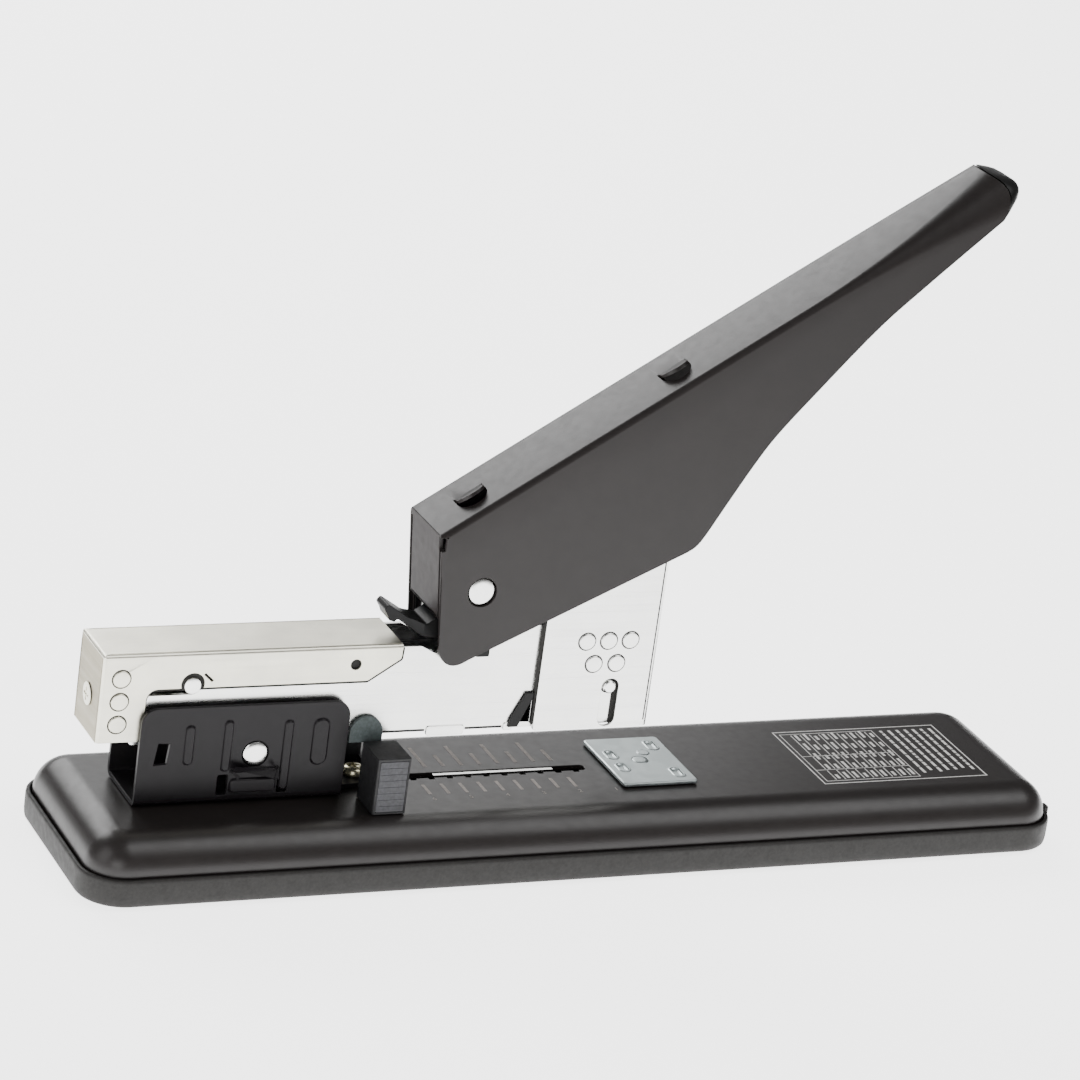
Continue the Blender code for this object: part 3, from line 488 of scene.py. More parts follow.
def printed(name, slot, colour):
    """Screen-printed ink: slightly patchy and dull."""
    look = new_look(name, slot, colour, 0.0, 0.6, 0.3)
    tint(look, noise(look, 1600, 3), tuple(c * 0.72 for c in colour), colour, 0.35, 0.6)
    rough(look, noise(look, 900, 3), 0.5, 0.7)
    relief(look, (noise(look, 2500, 2), 0.01, 0.4))


painted("handle_paint", "black_paint", (0.015, 0.0125, 0.012), 0.36, 0.29, 1900)
# painted shade: the handle paint again, duller and less glossy, for the front flap's faces
painted("flap_shaded_paint", "black_paint", (0.022, 0.018, 0.018), 0.5, 0.10, 1900)
painted("bracket_paint", "black_paint", (0.008, 0.007, 0.008), 0.34, 0.18, 1900)
painted("base_paint", "black_powder", (0.014, 0.0115, 0.011), 0.34, 0.42, 1500)
moulded("tray_plastic", "black_plastic", (0.014, 0.013, 0.012), 0.56, 2600, 0.03)
moulded("black_plastic", "black_plastic", (0.010, 0.010, 0.011), 0.5, 2400)
moulded("grey_plastic", "black_plastic", (0.050, 0.050, 0.055), 0.55, 2400)
moulded("lug_plastic", "black_plastic", (0.055, 0.068, 0.068), 0.5, 2400)
painted("hook_black", "black_paint", (0.006, 0.006, 0.006), 0.42, 0.2, 2400)
# painted shade: dark sheet for gaps, slot walls and button edges, where shade falls
moulded("painted_shade", "black_plastic", (0.014, 0.013, 0.012), 0.7, 3000, 0.01)
soft_rubber("rubber", "rubber", (0.018, 0.018, 0.018))
plated("nickel", "nickel", (0.86, 0.86, 0.84), 0.24)
plated("bright_pin", "nickel", (0.90, 0.90, 0.88), 0.20, (1, 1, 1))
plated("cover_zinc", "warm_zinc", (0.72, 0.70, 0.60), 0.34, (0.03, 1, 1), 0.12, 0.008)
# painted shade: the cover zinc much darker, for the cover's rear end face
plated("cover_end_shaded_zinc", "warm_zinc", (0.27, 0.245, 0.18), 0.40, (1, 0.03, 1), 0.12, 0.006)
spangled("zinc", "zinc", (0.50, 0.55, 0.55), 0.40)
plated("steel", "steel", (0.52, 0.53, 0.54), 0.34, (0.05, 1, 1), 0.10)
plated("spring_steel", "steel", (0.42, 0.42, 0.43), 0.30, (1, 1, 1), 0.12)
spangled("yellow_zinc", "yellow_zinc", (0.66, 0.62, 0.44), 0.32)
printed("ink", "black_powder", (0.30, 0.27, 0.25))
printed("label_ink", "black_powder", (0.80, 0.79, 0.77))


# ======== base
BASE_CORNER = 11.3
TRAY_TOP = 8.2
SHELL_INSET = 1.6
SHELL_SHEET = 1.2
SHELL_ROLL = 9.0
SLOT_X = (-53.0, 7.7)
SLOT_HALF = 1.5
NOTCH_PITCH = 5.0
NOTCH_COUNT = 11
CORNER_STEPS = 14
SCREWS = ["base_screw_%d" % i for i in range(1, 5)]
FEET = ["rubber_foot_%d" % i for i in range(1, 5)]
tray_low, tray_high = box_mm("base_tray")
shell_low, shell_high = box_mm("base_shell")
shell_top = shell_high.z


def base_ring(inset, height):
    """Rounded rectangle of the base, moved inwards, at a height."""
    half_x = tray_high.x - inset
    half_y = tray_high.y - inset
    corner = max(BASE_CORNER - inset, 1.0)
    return level_ring(rectangle((-half_x, half_x), (-half_y, half_y), corner, CORNER_STEPS), height)


def plan_places(node_names):
    """Middles of some nodes in plan, as (x, y)."""
    return [tuple(middle_of(name))[:2] for name in node_names]


def make_tray():
    """Moulded tray: drafted wall, rounded rim and the wells for feet and screws below."""
    bottom = tray_low.z
    top = TRAY_TOP
    levels = [(1.5, bottom), (0.7, bottom + 0.15), (0.25, bottom + 0.6), (0.1, bottom + 1.2),
              (0.0, bottom + 2.2), (0.0, top - 1.0), (0.08, top - 0.45), (0.3, top - 0.12), (0.6, top),
              (1.0, top), (1.2, top - 0.2), (1.3, top - 0.6), (1.3, bottom + 2.0)]
    tray = skin([base_ring(inset, height) for inset, height in levels])
    wells = ((FEET, 6.8, 0.8), (SCREWS, 3.7, 2.6), (["anvil_stud"], 6.9, 3.0))
    tools = [cylinder(radius, -1, bottom + deep, (x, y, 0), "z") for names, radius, deep in wells
             for x, y in plan_places(names)]
    ribs = [block((x - 0.5, x + 0.5), (-26, 26), (bottom + 1.0, bottom + 5.0)) for x in (-60, -20, 60, 95)]
    lip = rectangle((-22.4, -19.6), (top - 2, top + 1.3), 0.6, 5)
    lip = prism(lip, tray_high.x - 1.2, tray_high.x, "x")
    piece("tray", cut(fuse(tray, lip, *ribs), *tools), "base", "tray_plastic", ["base_tray"], 0.12)


def rolled_solid(inset, top, roll, bottom, steps):
    """Rounded-over block: straight wall, then a quarter roll up to the flat top."""
    rings = [base_ring(inset, bottom), base_ring(inset, bottom + 2.0)]
    for i in range(steps + 1):
        angle = math.pi / 2 * i / steps
        rings.append(base_ring(inset + roll * (1 - math.cos(angle)), top - roll + roll * math.sin(angle)))
    return skin(rings)


def make_shell():
    """Pressed steel top: rolled edges, guide slot with a row of notches, anvil hole."""
    outside = rolled_solid(SHELL_INSET, shell_top, SHELL_ROLL, shell_low.z, 14)
    sheet = SHELL_SHEET
    inside = rolled_solid(SHELL_INSET + sheet, shell_top - sheet, SHELL_ROLL - sheet, shell_low.z - 1, 14)
    slot = prism(rectangle(SLOT_X, (-SLOT_HALF, SLOT_HALF), 1.2), 10, 20, "z")
    holes = [hole_down(3.5, middle_of("anvil_stud").x), hole_down(2.3, middle_of("rear_screw").x)]
    stops = [SLOT_X[1] - 3.0 - NOTCH_PITCH * i for i in range(NOTCH_COUNT)]
    notches = [rectangle((x - 0.8, x + 0.8), (-SLOT_HALF - 0.9, 0), 0.25, 3) for x in stops]
    shell = cut(outside, inside, slot, *holes)
    shell = cut(shell, *[prism(notch, 10, 20, "z") for notch in notches])
    piece("shell", shell, "base", "base_paint", ["base_shell"], 0.12)


def make_feet():
    """Turned rubber feet with a shallow ring on the underside."""
    for i, node_name in enumerate(FEET):
        low, high = box_mm(node_name)
        middle = middle_of(node_name)
        radius = (high.x - low.x) / 2
        z = low.z
        profile = [(radius * 0.5, z + 0.25), (radius - 1.2, z + 0.25), (radius - 1.0, z), (radius - 0.5, z),
                   (radius - 0.1, z + 0.3), (radius, z + 0.6), (radius, high.z)]
        foot = turned(profile, (middle.x, middle.y, 0), "z")
        piece("foot_%d" % (i + 1), foot, "base", "rubber", [node_name], 0.08)


def cross_slot(x, y, low, high, half, width):
    """Two crossed bars, to cut a screwdriver recess."""
    return [prism(rectangle((x - a, x + a), (y - b, y + b), width * 0.6, 3), low, high, "z")
            for a, b in ((half, width), (width, half))]


def make_base_screws():
    """Countersunk screws under the tray, their cross recesses facing down."""
    for i, (x, y) in enumerate(plan_places(SCREWS)):
        low, high = box_mm(SCREWS[i])
        profile = [(1.9, low.z), (2.7, low.z + 0.25), (3.15, low.z + 0.8), (3.2, low.z + 1.5),
                   (1.5, low.z + 1.9), (1.5, high.z)]
        screw = cut(turned(profile, (x, y, 0), "z"), *cross_slot(x, y, low.z - 1, low.z + 0.9, 1.9, 0.35))
        piece("underside_screw_%d" % (i + 1), screw, "base", "steel", [SCREWS[i]], 0.06)


# ======== print on the base
INK_LIFT = 0.03
SCALE_PITCH = 5.0
SCALE_START = -39.2


def strip(x, y):
    """Thin raised ink bar on the base's flat top."""
    return block(x, y, (shell_top - 0.02, shell_top + INK_LIFT))


def make_depth_scale():
    """Depth marks on both sides of the slot, long and short in turn, and their numbers."""
    bars = []
    for i in range(9):
        x = SCALE_START + SCALE_PITCH * i
        bars.append(strip((x - 0.45, x + 0.45), (-11.0, -5.3)))
    for i in range(8):
        x = SCALE_START + 4.8 + SCALE_PITCH * i
        bars.append(strip((x - 0.5, x + 0.5), (4.8, 11.5 if i % 2 else 16.5)))
    piece("depth_marks", together(*bars), "base", "ink")
    for i in range(6):
        text = bpy.data.curves.new("depth_number", "FONT")
        text.body = str(6 - i)
        text.size = 2.3 * MM
        text.align_x = "CENTER"
        text.align_y = "CENTER"
        text.extrude = INK_LIFT * MM
        text.materials.append(LOOKS["ink"])
        number = new_object("depth_number_%d" % (6 - i), text)
        number.location = Vector((SCALE_START + 2 * SCALE_PITCH * i, -13.6, shell_top)) * MM
        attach(number, "base")


def frame_lines(x, y, width):
    """Four thin bars round a rectangle."""
    return [strip((x[0], x[0] + width), y), strip((x[1] - width, x[1]), y),
            strip((x[0] + width, x[1] - width), (y[0], y[0] + width)),
            strip((x[0] + width, x[1] - width), (y[1] - width, y[1]))]


def make_label():
    """Printed panel with a ruled table and rows of plain dashes in place of any words."""
    x0, x1 = 68.6, 116.7
    y0, y1 = -17.5, 14.8
    bars = frame_lines((x0, x1), (y0, y1), 0.35)
    table_end = x0 + 29.0
    bars += frame_lines((x0 + 1.4, table_end), (y0 + 1.6, y1 - 1.6), 0.22)
    for i in range(9):
        x = x0 + 4.4 + 2.75 * i
        for low, high in ((y0 + 2.4, -9.6), (-8.6, -1.2), (-0.2, y1 - 2.4)):
            bars.append(strip((x, x + 0.25), (low, high)))
        for k in range(5):
            low = y0 + 3.0 + 5.9 * k
            length = 2.4 + 1.6 * math.sin(2.1 * i + 3.7 * k) ** 2
            bars.append(strip((x + 1.0, x + 1.75), (low, low + length)))
    for y in (-9.2, -0.8):
        bars.append(strip((x0 + 1.6, table_end - 0.2), (y, y + 0.2)))
    for i in range(7):
        x = table_end + 2.0 + 2.45 * i
        y = y1 - 2.2
        k = 0
        while y > y0 + 4.0 + 3.0 * math.sin(1.7 * i) ** 2:
            length = 1.2 + 2.2 * math.sin(1.3 * i + 2.9 * k) ** 2
            bars.append(strip((x, x + 0.8), (y - length, y)))
            y -= length + 0.55
            k += 1
    piece("label_print", together(*bars), "base", "label_ink")


# ======== pivot bracket
BRACKET_SHEET = 1.2
BRACKET_BEND = 2.0
BRACKET_FRONT = -63.3
UPRIGHT_BEADS = (((-106.0, -103.4), (28.4, 39.0)), ((-96.0, -93.6), (26.2, 39.9)),
                 ((-80.4, -77.9), (20.6, 39.3)), ((-72.8, -68.4), (26.8, 39.4)))


def bead(outline, half, side, lift=0.6):
    """Raised pressed bead on a bracket wall: its outline draws in as it rises."""
    rings = []
    middle = sum((Vector(p) for p in outline), Vector((0, 0))) / len(outline)
    for shrink, height in ((0.0, -0.3), (0.0, 0.0), (0.2, lift * 0.7), (0.45, lift)):
        ring = []
        for i, point in enumerate(outline):
            here = Vector(point)
            before = Vector(outline[i - 1])
            after = Vector(outline[(i + 1) % len(outline)])
            along = (after - before).normalized()
            inward = Vector((-along.y, along.x))
            if inward.dot(middle - here) < 0:
                inward = -inward
            spot = here + inward * shrink
            ring.append(Vector((spot.x, side * (half + height), spot.y)))
        rings.append(ring)
    return skin(rings)


def make_bracket():
    """Pressed U bracket with a screw ear, bent foot edges, beads, windows and rounded corners."""
    low, high = box_mm("pivot_bracket")
    half = high.y
    within = half - BRACKET_SHEET
    floor = low.z + BRACKET_SHEET
    bend = BRACKET_BEND - BRACKET_SHEET
    section = rounded([(-half, high.z, 0), (-half, low.z, BRACKET_BEND), (half, low.z, BRACKET_BEND),
                       (half, high.z, 0), (within, high.z, 0), (within, floor, bend),
                       (-within, floor, bend), (-within, high.z, 0)], 7)
    channel = prism(section, low.x, BRACKET_FRONT, "x")
    wall = rounded([(low.x - 1, low.z - 1, 0), (BRACKET_FRONT, low.z - 1, 0), (BRACKET_FRONT, high.z, 4.0),
                    (low.x, high.z, 4.0), (low.x, low.z + 4, 0)], 10)
    channel = combine(channel, "INTERSECT", through(wall))
    ear = rounded([(BRACKET_FRONT - 8, -7, 0), (BRACKET_FRONT + 1, -6, 0), (high.x, -4.6, 4.2),
                   (high.x, 4.6, 4.2), (BRACKET_FRONT + 1, 6, 0), (BRACKET_FRONT - 8, 7, 0)], 10)
    channel = fuse(channel, prism(ear, low.z, floor, "z"))
    tools = [hole_across(3.5, middle_of("pivot_pin"))]
    tools += [hole_down(2.3, middle_of(name).x) for name in ("ear_screw", "rear_screw")]
    tools.append(through([(-113.4, 28.6), (-110.0, 28.8), (-109.5, 34.2), (-112.6, 34.4)]))
    tools += [through(rectangle((x, x + 2.7), (19.8, 25.2), 0.5, 4)) for x in (-96.4, -80.6)]
    channel = cut(channel, *tools)
    for side in (-1, 1):
        beads = [bead(rectangle(x, z, (x[1] - x[0]) / 2 - 0.05, 8), half, side) for x, z in UPRIGHT_BEADS]
        beads.append(bead(rectangle((-93.4, -80.6), (25.7, 27.0), 0.4, 3), half, side))
        beads.append(bead(rectangle((-93.3, -81.1), (20.4, 24.2), 1.2, 4), half, side, 0.7))
        channel = fuse(channel, *beads)
    piece("bracket", channel, "base", "bracket_paint", ["pivot_bracket"], 0.12, 2, math.radians(16))


def make_pivot():
    """Pivot pin with slightly domed heads, and the two bracket screws."""
    low, high = box_mm("pivot_pin")
    waist = (high.x - low.x) / 2 - 2.0
    ends = [(1.6, 0), (0.5, 0.06), (0.1, 0.3), (0, 0.6), (0, 1.6), (waist, 1.7)]
    rivet("pivot_rivet", "pivot_pin", "base", ends, 64)
    for name in ("ear_screw", "rear_screw"):
        low, high = box_mm(name)
        x = middle_of(name).x
        top = high.z
        profile = [(1.9, low.z), (1.9, top - 2.2), (2.8, top - 2.2), (2.9, top - 2.0), (2.9, top - 1.4),
                   (2.7, top - 0.8), (2.3, top - 0.3), (1.7, top - 0.06), (1.1, top)]
        screw = cut(turned(profile, (x, 0, 0), "z"), *cross_slot(x, 0, top - 1.0, top + 1, 1.6, 0.34))
        piece(name + "_head", screw, "base", "yellow_zinc", [name], 0.06)


# ======== paper guide and anvil
POST_END = -50.2
POST_FOOT = 17.5
GROOVES = 7
GROOVE_PITCH = 1.7
GROOVE_WIDTH = 0.12


def make_guide():
    """Guide with soft edges and a framed, lighter, grooved pad on its near post."""
    guide = cad_solid("paper_guide")
    low, high = box_mm("paper_guide")
    recess = rectangle((low.x + 0.7, POST_END - 0.7), (POST_FOOT + 0.6, high.z - 0.7), 0.3, 3)
    guide = cut(guide, prism(recess, low.y - 1, low.y + 0.35, "y"))
    bmesh.ops.triangulate(guide, faces=guide.faces)
    piece("guide", guide, "guide", "black_plastic", ["paper_guide"], 0.12)
    pad = rectangle((low.x + 0.8, POST_END - 0.8), (POST_FOOT + 0.7, high.z - 0.8), 0.3, 3)
    pad = prism(pad, low.y + 0.02, low.y + 0.33, "y")
    heights = [POST_FOOT + 2.2 + GROOVE_PITCH * i for i in range(GROOVES)]
    lines = [block((low.x, POST_END), (low.y - 1, low.y + 0.12), (z, z + GROOVE_WIDTH)) for z in heights]
    piece("guide_pad", cut(pad, *lines), "guide", "grey_plastic", (), 0.0, 2, math.radians(8))


def oval(x, y, width, length, height):
    """Ring of points round an upright oval, width along x and length along y."""
    half = width / 2
    reach = length / 2
    return level_ring(rectangle((x - half, x + half), (y - reach, y + reach), half - 0.01, 8), height)


def make_anvil():
    """Plated anvil: rounded plate, four forming pockets with raised rims, riveted stud."""
    low, high = box_mm("anvil_plate")
    top = high.z
    rings = []
    for inset, z in ((0.35, low.z), (0.0, low.z + 0.25), (0.0, top - 0.35), (0.12, top - 0.12), (0.4, top)):
        x = (low.x + inset, high.x - inset)
        y = (low.y + inset, high.y - inset)
        rings.append(level_ring(rectangle(x, y, 1.0 - inset * 0.4, 5), z))
    plate = skin(rings)
    centre_x = middle_of("anvil_plate").x
    pockets = []
    rims = []
    for x, y, length in ((centre_x - 6.7, 3.8, 4.6), (centre_x + 6.7, 8.3, 5.0)):
        for solids, levels in ((pockets, ((1.0, 0.4), (1.0, 0.0), (0.86, -0.3), (0.5, -0.45))),
                               (rims, ((1.34, -0.2), (1.34, 0.0), (1.22, 0.14), (1.08, 0.16)))):
            solids += [skin([oval(x, b, 2.6 * k, length * k, top + depth) for k, depth in levels])
                       for b in (-y, y)]
    emboss = [(1.75, top - 0.3), (1.75, top + 0.02), (1.4, top + 0.12)]
    emboss = turned(emboss, (centre_x + 2.6, 4.2, 0), "z")
    plate = cut(fuse(plate, emboss, *rims), hole_down(2.25, centre_x), *pockets)
    piece("anvil", plate, "anvil", "zinc", ["anvil_plate"], 0.06, 2, math.radians(8))

    low, high = box_mm("anvil_stud")
    z = low.z
    profile = [(4.6, z), (5.8, z + 0.15), (6.2, z + 0.6), (6.2, z + 2.5), (3.0, z + 2.7), (3.0, top - 1.3),
               (2.15, top - 1.2), (2.15, top - 0.08), (2.0, top + 0.02), (1.2, top + 0.06)]
    piece("anvil_rivet", turned(profile, (centre_x, 0, 0), "z"), "anvil", "zinc", ["anvil_stud"], 0.05)


# ======== magazine and head
FRAME_HALF = 7.85
BUTTON_RADIUS = 2.2


def make_frame():
    """Plated magazine channel, with small folded tabs at its near lower edge and painted shadow strips
    along it.
    """
    channel = cad_solid("magazine_frame")
    tabs = []
    for x, z in (((-41.5, -31.4), (32.1, 34.6)), ((-20.6, -18.2), (32.6, 34.6))):
        tabs.append(prism(rectangle(x, z, 0.6, 4), -FRAME_HALF - 0.35, -FRAME_HALF + 0.4, "y"))
    piece("magazine_channel", fuse(channel, *tabs), "magazine", "nickel", ["magazine_frame"], 0.12)
    # painted shadow: dark strips along the channel's lower edge, between the tabs, where the gap under it
    # lies in shade
    seams = []
    for x in ((-57.0, -41.9), (-31.0, -20.9)):
        seams += both_sides(rectangle(x, (33.35, 33.85), 0.15, 2), FRAME_HALF, FRAME_HALF + 0.06)
    piece("channel_gap_shadow", together(*seams), "magazine", "painted_shade")


def button(x, z, y, side):
    """Half-sheared round button on a side wall."""
    radius = BUTTON_RADIUS
    profile = [(radius, -0.4), (radius, 0.2), (radius - 0.15, 0.38), (radius - 0.5, 0.42)]
    return turned([(r, side * (y + lift)) for r, lift in profile], (x, 0, z), "y", 36)


def shear_shade_ring(x, z, y, side):
    """Thin dark ring round a half-sheared button: painted shade in the sheared edge."""
    radius = BUTTON_RADIUS
    loop = [(radius + 0.02, -0.1), (radius + 0.02, 0.05), (radius + 0.3, 0.03), (radius + 0.3, -0.1)]
    rings = []
    for r, lift in loop + loop[:1]:
        rings.append([Vector((x + r * math.cos(a), side * (y + lift), z + r * math.sin(a)))
                      for a in (2 * math.pi * k / 36 for k in range(36))])
    bm = skin(rings, closed=False)
    bmesh.ops.remove_doubles(bm, verts=bm.verts, dist=0.0001)
    bmesh.ops.recalc_face_normals(bm, faces=bm.faces)
    return bm


def make_head():
    """Front housing with round buttons, the guide slot and rounded folds at the front."""
    low, high = box_mm("head_housing")
    head = cad_solid("head_housing")
    folds = [prism(fold_outline(high.x, side * high.y, 1, side, 1.3), low.z - 1, high.z + 1, "z")
             for side in (-1, 1)]
    slot = through(rectangle((4.7, 9.4), (33.0, 46.0), 2.3, 8))
    places = [(x, z, high.y, side) for side in (-1, 1)
              for x, z in ((-1.2, 56.5), (4.8, 56.5), (10.8, 56.5), (1.5, 50.3), (7.75, 50.3))]
    head = fuse(cut(head, *folds, slot), *[button(*place) for place in places])
    piece("head", head, "magazine", "nickel", ["head_housing"], 0.1)
    # painted shade: dark lining just inside the guide slot's wall
    shadow_linings = both_sides(rectangle((8.3, 9.7), (33.0, 46.2), 0.6, 3), 8.02, 8.14)
    piece("slot_shadow_lining", together(*shadow_linings), "magazine", "painted_shade")
    # painted shadow: dark lines at the joint in front of the head and along its rear edge
    front = rectangle((low.x - 0.62, low.x - 0.06), (34.2, 76.5), 0.2, 2)
    rear = rectangle((high.x - 1.5, high.x - 1.15), (34.2, high.z - 0.5), 0.15, 2)
    gap_shadows = both_sides(front, FRAME_HALF, high.y - 0.2)
    edges = both_sides(rear, high.y - 0.1, high.y + 0.03)
    piece("head_gap_shadows", together(*gap_shadows, *edges), "magazine", "painted_shade")
    # painted shade: dark rings round the buttons
    lines = together(*[shear_shade_ring(*place) for place in places])
    piece("head_shear_shadows", lines, "magazine", "painted_shade")


def make_small_magazine_parts():
    """Black spring hook, grey saddle, rivet heads and pins with softened ends."""
    piece("spring_hook", cad_solid("anti_jam_spring"), "magazine", "hook_black", ["anti_jam_spring"], 0.12)
    piece("saddle", cad_solid("spring_saddle"), "magazine", "lug_plastic", ["spring_saddle"], 0.25, 3)
    rivet("handle_rivet", "handle_pin", "magazine", [(1.3, 0), (0.6, 0.05), (0.2, 0.2), (0, 0.5)], 64)
    for name in ("head_stud_near", "head_stud_far"):
        rivet(name + "_pin", name, "magazine", [(0.35, 0), (0, 0.3)])


# ======== rear cover
COVER_FOLD = 0.9


def make_cover():
    """Beige-plated rear cover: rounded folds, a slanted slit, three buttons a side, pin and screw."""
    low, high = box_mm("rear_cover")
    cover = cad_solid("rear_cover")
    tools = [through([(-102.2, 51.6), (-100.0, 49.6), (-99.6, 50.0), (-101.8, 52.0)])]
    for side in (-1, 1):
        edge = side * high.y
        tools.append(prism(fold_outline(edge, high.z, side, 1, COVER_FOLD), low.x - 1, high.x + 1, "x"))
        tools.append(prism(fold_outline(low.x, edge, -1, side, COVER_FOLD), low.z - 1, high.z + 1, "z"))
    cover = cut(cover, *tools)
    places = [(-123.2, z, high.y, side) for side in (-1, 1) for z in (51.3, 45.3, 39.3)]
    cover = fuse(cover, *[button(*place) for place in places])
    cover = piece("cover", cover, "cover", "cover_zinc", ["rear_cover"], 0.1)
    # painted shade: the rear end face gets a much darker copy of the zinc
    shade_rear_faces(cover, "cover_end_shaded_zinc", low.x + 0.2)
    # painted shade: dark rings round the buttons
    lines = together(*[shear_shade_ring(*place) for place in places])
    piece("cover_shear_shadows", lines, "cover", "painted_shade")
    # painted shadow: dark sheet under the cover's edge, showing as a thin dark line along it
    edge = rounded([(-127.0, 34.2, 0), (-115.95, 34.2, 0), (-115.95, 47.3, 2.4), (-58.9, 47.3, 1.5),
                    (-50.2, 53.1, 0.9), (-50.0, 56.3, 0), (-127.0, 56.3, 0)], 5)
    shadow_sheets = both_sides(edge, 7.93, 8.09)
    piece("cover_edge_shadow", together(*shadow_sheets), "cover", "painted_shade")

    rivet("cross_pin", "cover_cross_pin", "cover", [(0.7, 0), (0.15, 0.15), (0, 0.5)])
    low, high = box_mm("cover_tail_screw")
    centre = middle_of("cover_tail_screw")
    x = low.x
    profile = [(1.6, x), (2.5, x + 0.08), (2.9, x + 0.2), (2.9, x + 0.35), (1.5, x + 0.4), (1.5, high.x)]
    screw = turned(profile, (0, 0, centre.z), "x")
    dents = [block((x - 1, x + 0.25), (-a, a), (centre.z - b, centre.z + b))
             for a, b in ((1.7, 0.35), (0.35, 1.7))]
    piece("tail_screw", cut(screw, *dents), "cover", "cover_zinc", ["cover_tail_screw"], 0.04)


# ======== handle
HANDLE_SHEET = 1.1
NOSE = (-45.2, 86.6)
SLOPE = math.radians(32.4)
GRIP = (45.0, 96.0)
CROWN_RISE = 0.44
TIP_BULGE = 3.0
FLAP_BOTTOM = 65.0
LANCE_PLACES = (-34.5, 16.2)
handle_half = box_mm("handle_shell")[1].y


def top_line(x):
    return NOSE[1] + (x - NOSE[0]) * math.tan(SLOPE)


def shoulder_radius(x):
    """Outer radius of the top edges: tight at the front, half round at the grip."""
    share = min(max((x - GRIP[0]) / (GRIP[1] - GRIP[0]), 0.0), 1.0)
    return 1.6 + 8.6 * share * share


def handle_stations():
    """(top x, bottom x, bottom z) from the front flap to the open grip end."""
    front = [(-45.2, -42.3, 57.6), (-44.2, -41.6, 55.0), (-42.8, -40.2, 53.0), (-41.2, -38.2, 52.0),
             (-39.2, -36.0, 52.2), (-36.5, -33.6, 53.4)]
    middle = [(-20.0, -14.2, 62.8), (-4.0, 3.0, 71.1), (12.0, 20.4, 79.5)]
    knee = [(12.0, 20.4, 79.5), (15.0, 23.6, 81.2), (18.0, 25.6, 83.2), (25.0, 31.0, 92.6),
            (32.0, 37.4, 103.8), (38.0, 42.0, 110.9), (49.0, 52.5, 123.7), (63.0, 67.0, 140.4),
            (73.0, 77.0, 150.0), (82.0, 86.0, 158.3), (89.0, 92.5, 164.2), (93.5, 96.6, 167.9)]
    return smooth(front, 3)[:-1] + [Vector(front[-1])] + [Vector(m) for m in middle[:-1]] + smooth(knee, 4)


def handle_section(station, half, inset, reach, step=0.0, bulge=0.0, chin=0.0):
    """Ring of points round one station; step, bulge and chin push it out past the grip's end."""
    top_x, low_x, low_z = station
    top = Vector((top_x, top_line(top_x) + CROWN_RISE * (shoulder_radius(top_x) - shoulder_radius(0))))
    low = Vector((low_x, low_z))
    whole = (low - top).length
    down = (low - top).normalized()
    ahead = Vector((math.cos(SLOPE), math.sin(SLOPE)))
    radius = max(shoulder_radius(top_x) - inset, 0.5)
    straight = whole - inset + reach
    ring = [(-half, radius + (straight - radius) * share) for share in (1.0, 0.75, 0.5, 0.25)]
    ring += [(-half + radius - radius * math.cos(a), radius - radius * math.sin(a))
             for a in (math.pi / 16 * k for k in range(9))]
    ring += [(-y, d) for y, d in reversed(ring)]
    points = []
    for y, d in ring:
        share = min((d + inset) / whole, 1.0)
        push = step + (bulge * 4 + chin * 6.75 * share) * share * (1 - share)
        place = top + down * (d + inset) + ahead * push
        points.append(Vector((place.x, y, place.y)))
    return points


def laddered(rings):
    """Closed solid through rings that mirror left to right; strips across close its ends."""
    bm = skin(rings, closed=False)
    bm.verts.ensure_lookup_table()
    count = len(rings[0])
    for start in (0, count * (len(rings) - 1)):
        for i in range(count // 2 - 1):
            loop = (start + i, start + i + 1, start + count - 2 - i, start + count - 1 - i)
            bm.faces.new([bm.verts[k] for k in loop])
    bmesh.ops.recalc_face_normals(bm, faces=bm.faces)
    return bm


def on_slope(x):
    """Matrix from (along, across, up) on the handle's sloping top at x to the frame."""
    along = Vector((math.cos(SLOPE), 0, math.sin(SLOPE)))
    up = Vector((-math.sin(SLOPE), 0, math.cos(SLOPE)))
    columns = Matrix((along, (0, 1, 0), up)).transposed().to_4x4()
    return Matrix.Translation((x, 0, top_line(x))) @ columns


def tongue(radius, chord, middle):
    """Outline of a tongue: straight across at the chord, round towards the near side."""
    return [(radius, chord)] + arc((0, middle), radius, 0, -180, 28) + [(-radius, chord)]


def lance(x):
    """Round-ended tab of the top sheet, lifted on its near side, with the hole under it."""
    chord = 1.5
    middle = -1.3
    hole = prism(tongue(4.05, chord, middle), -3, 3, "z")
    flat = [(3.8, chord + 0.8)] + tongue(3.8, chord, middle - 0.05) + [(-3.8, chord + 0.8)]
    tab = prism(flat, -0.9, 0.02, "z")
    lift = Matrix.Translation((0, chord, 0)) @ Matrix.Rotation(math.radians(-23), 4, "X")
    tab = moved(tab, lift @ Matrix.Translation((0, -chord, 0)))
    return moved(hole, on_slope(x)), moved(tab, on_slope(x))


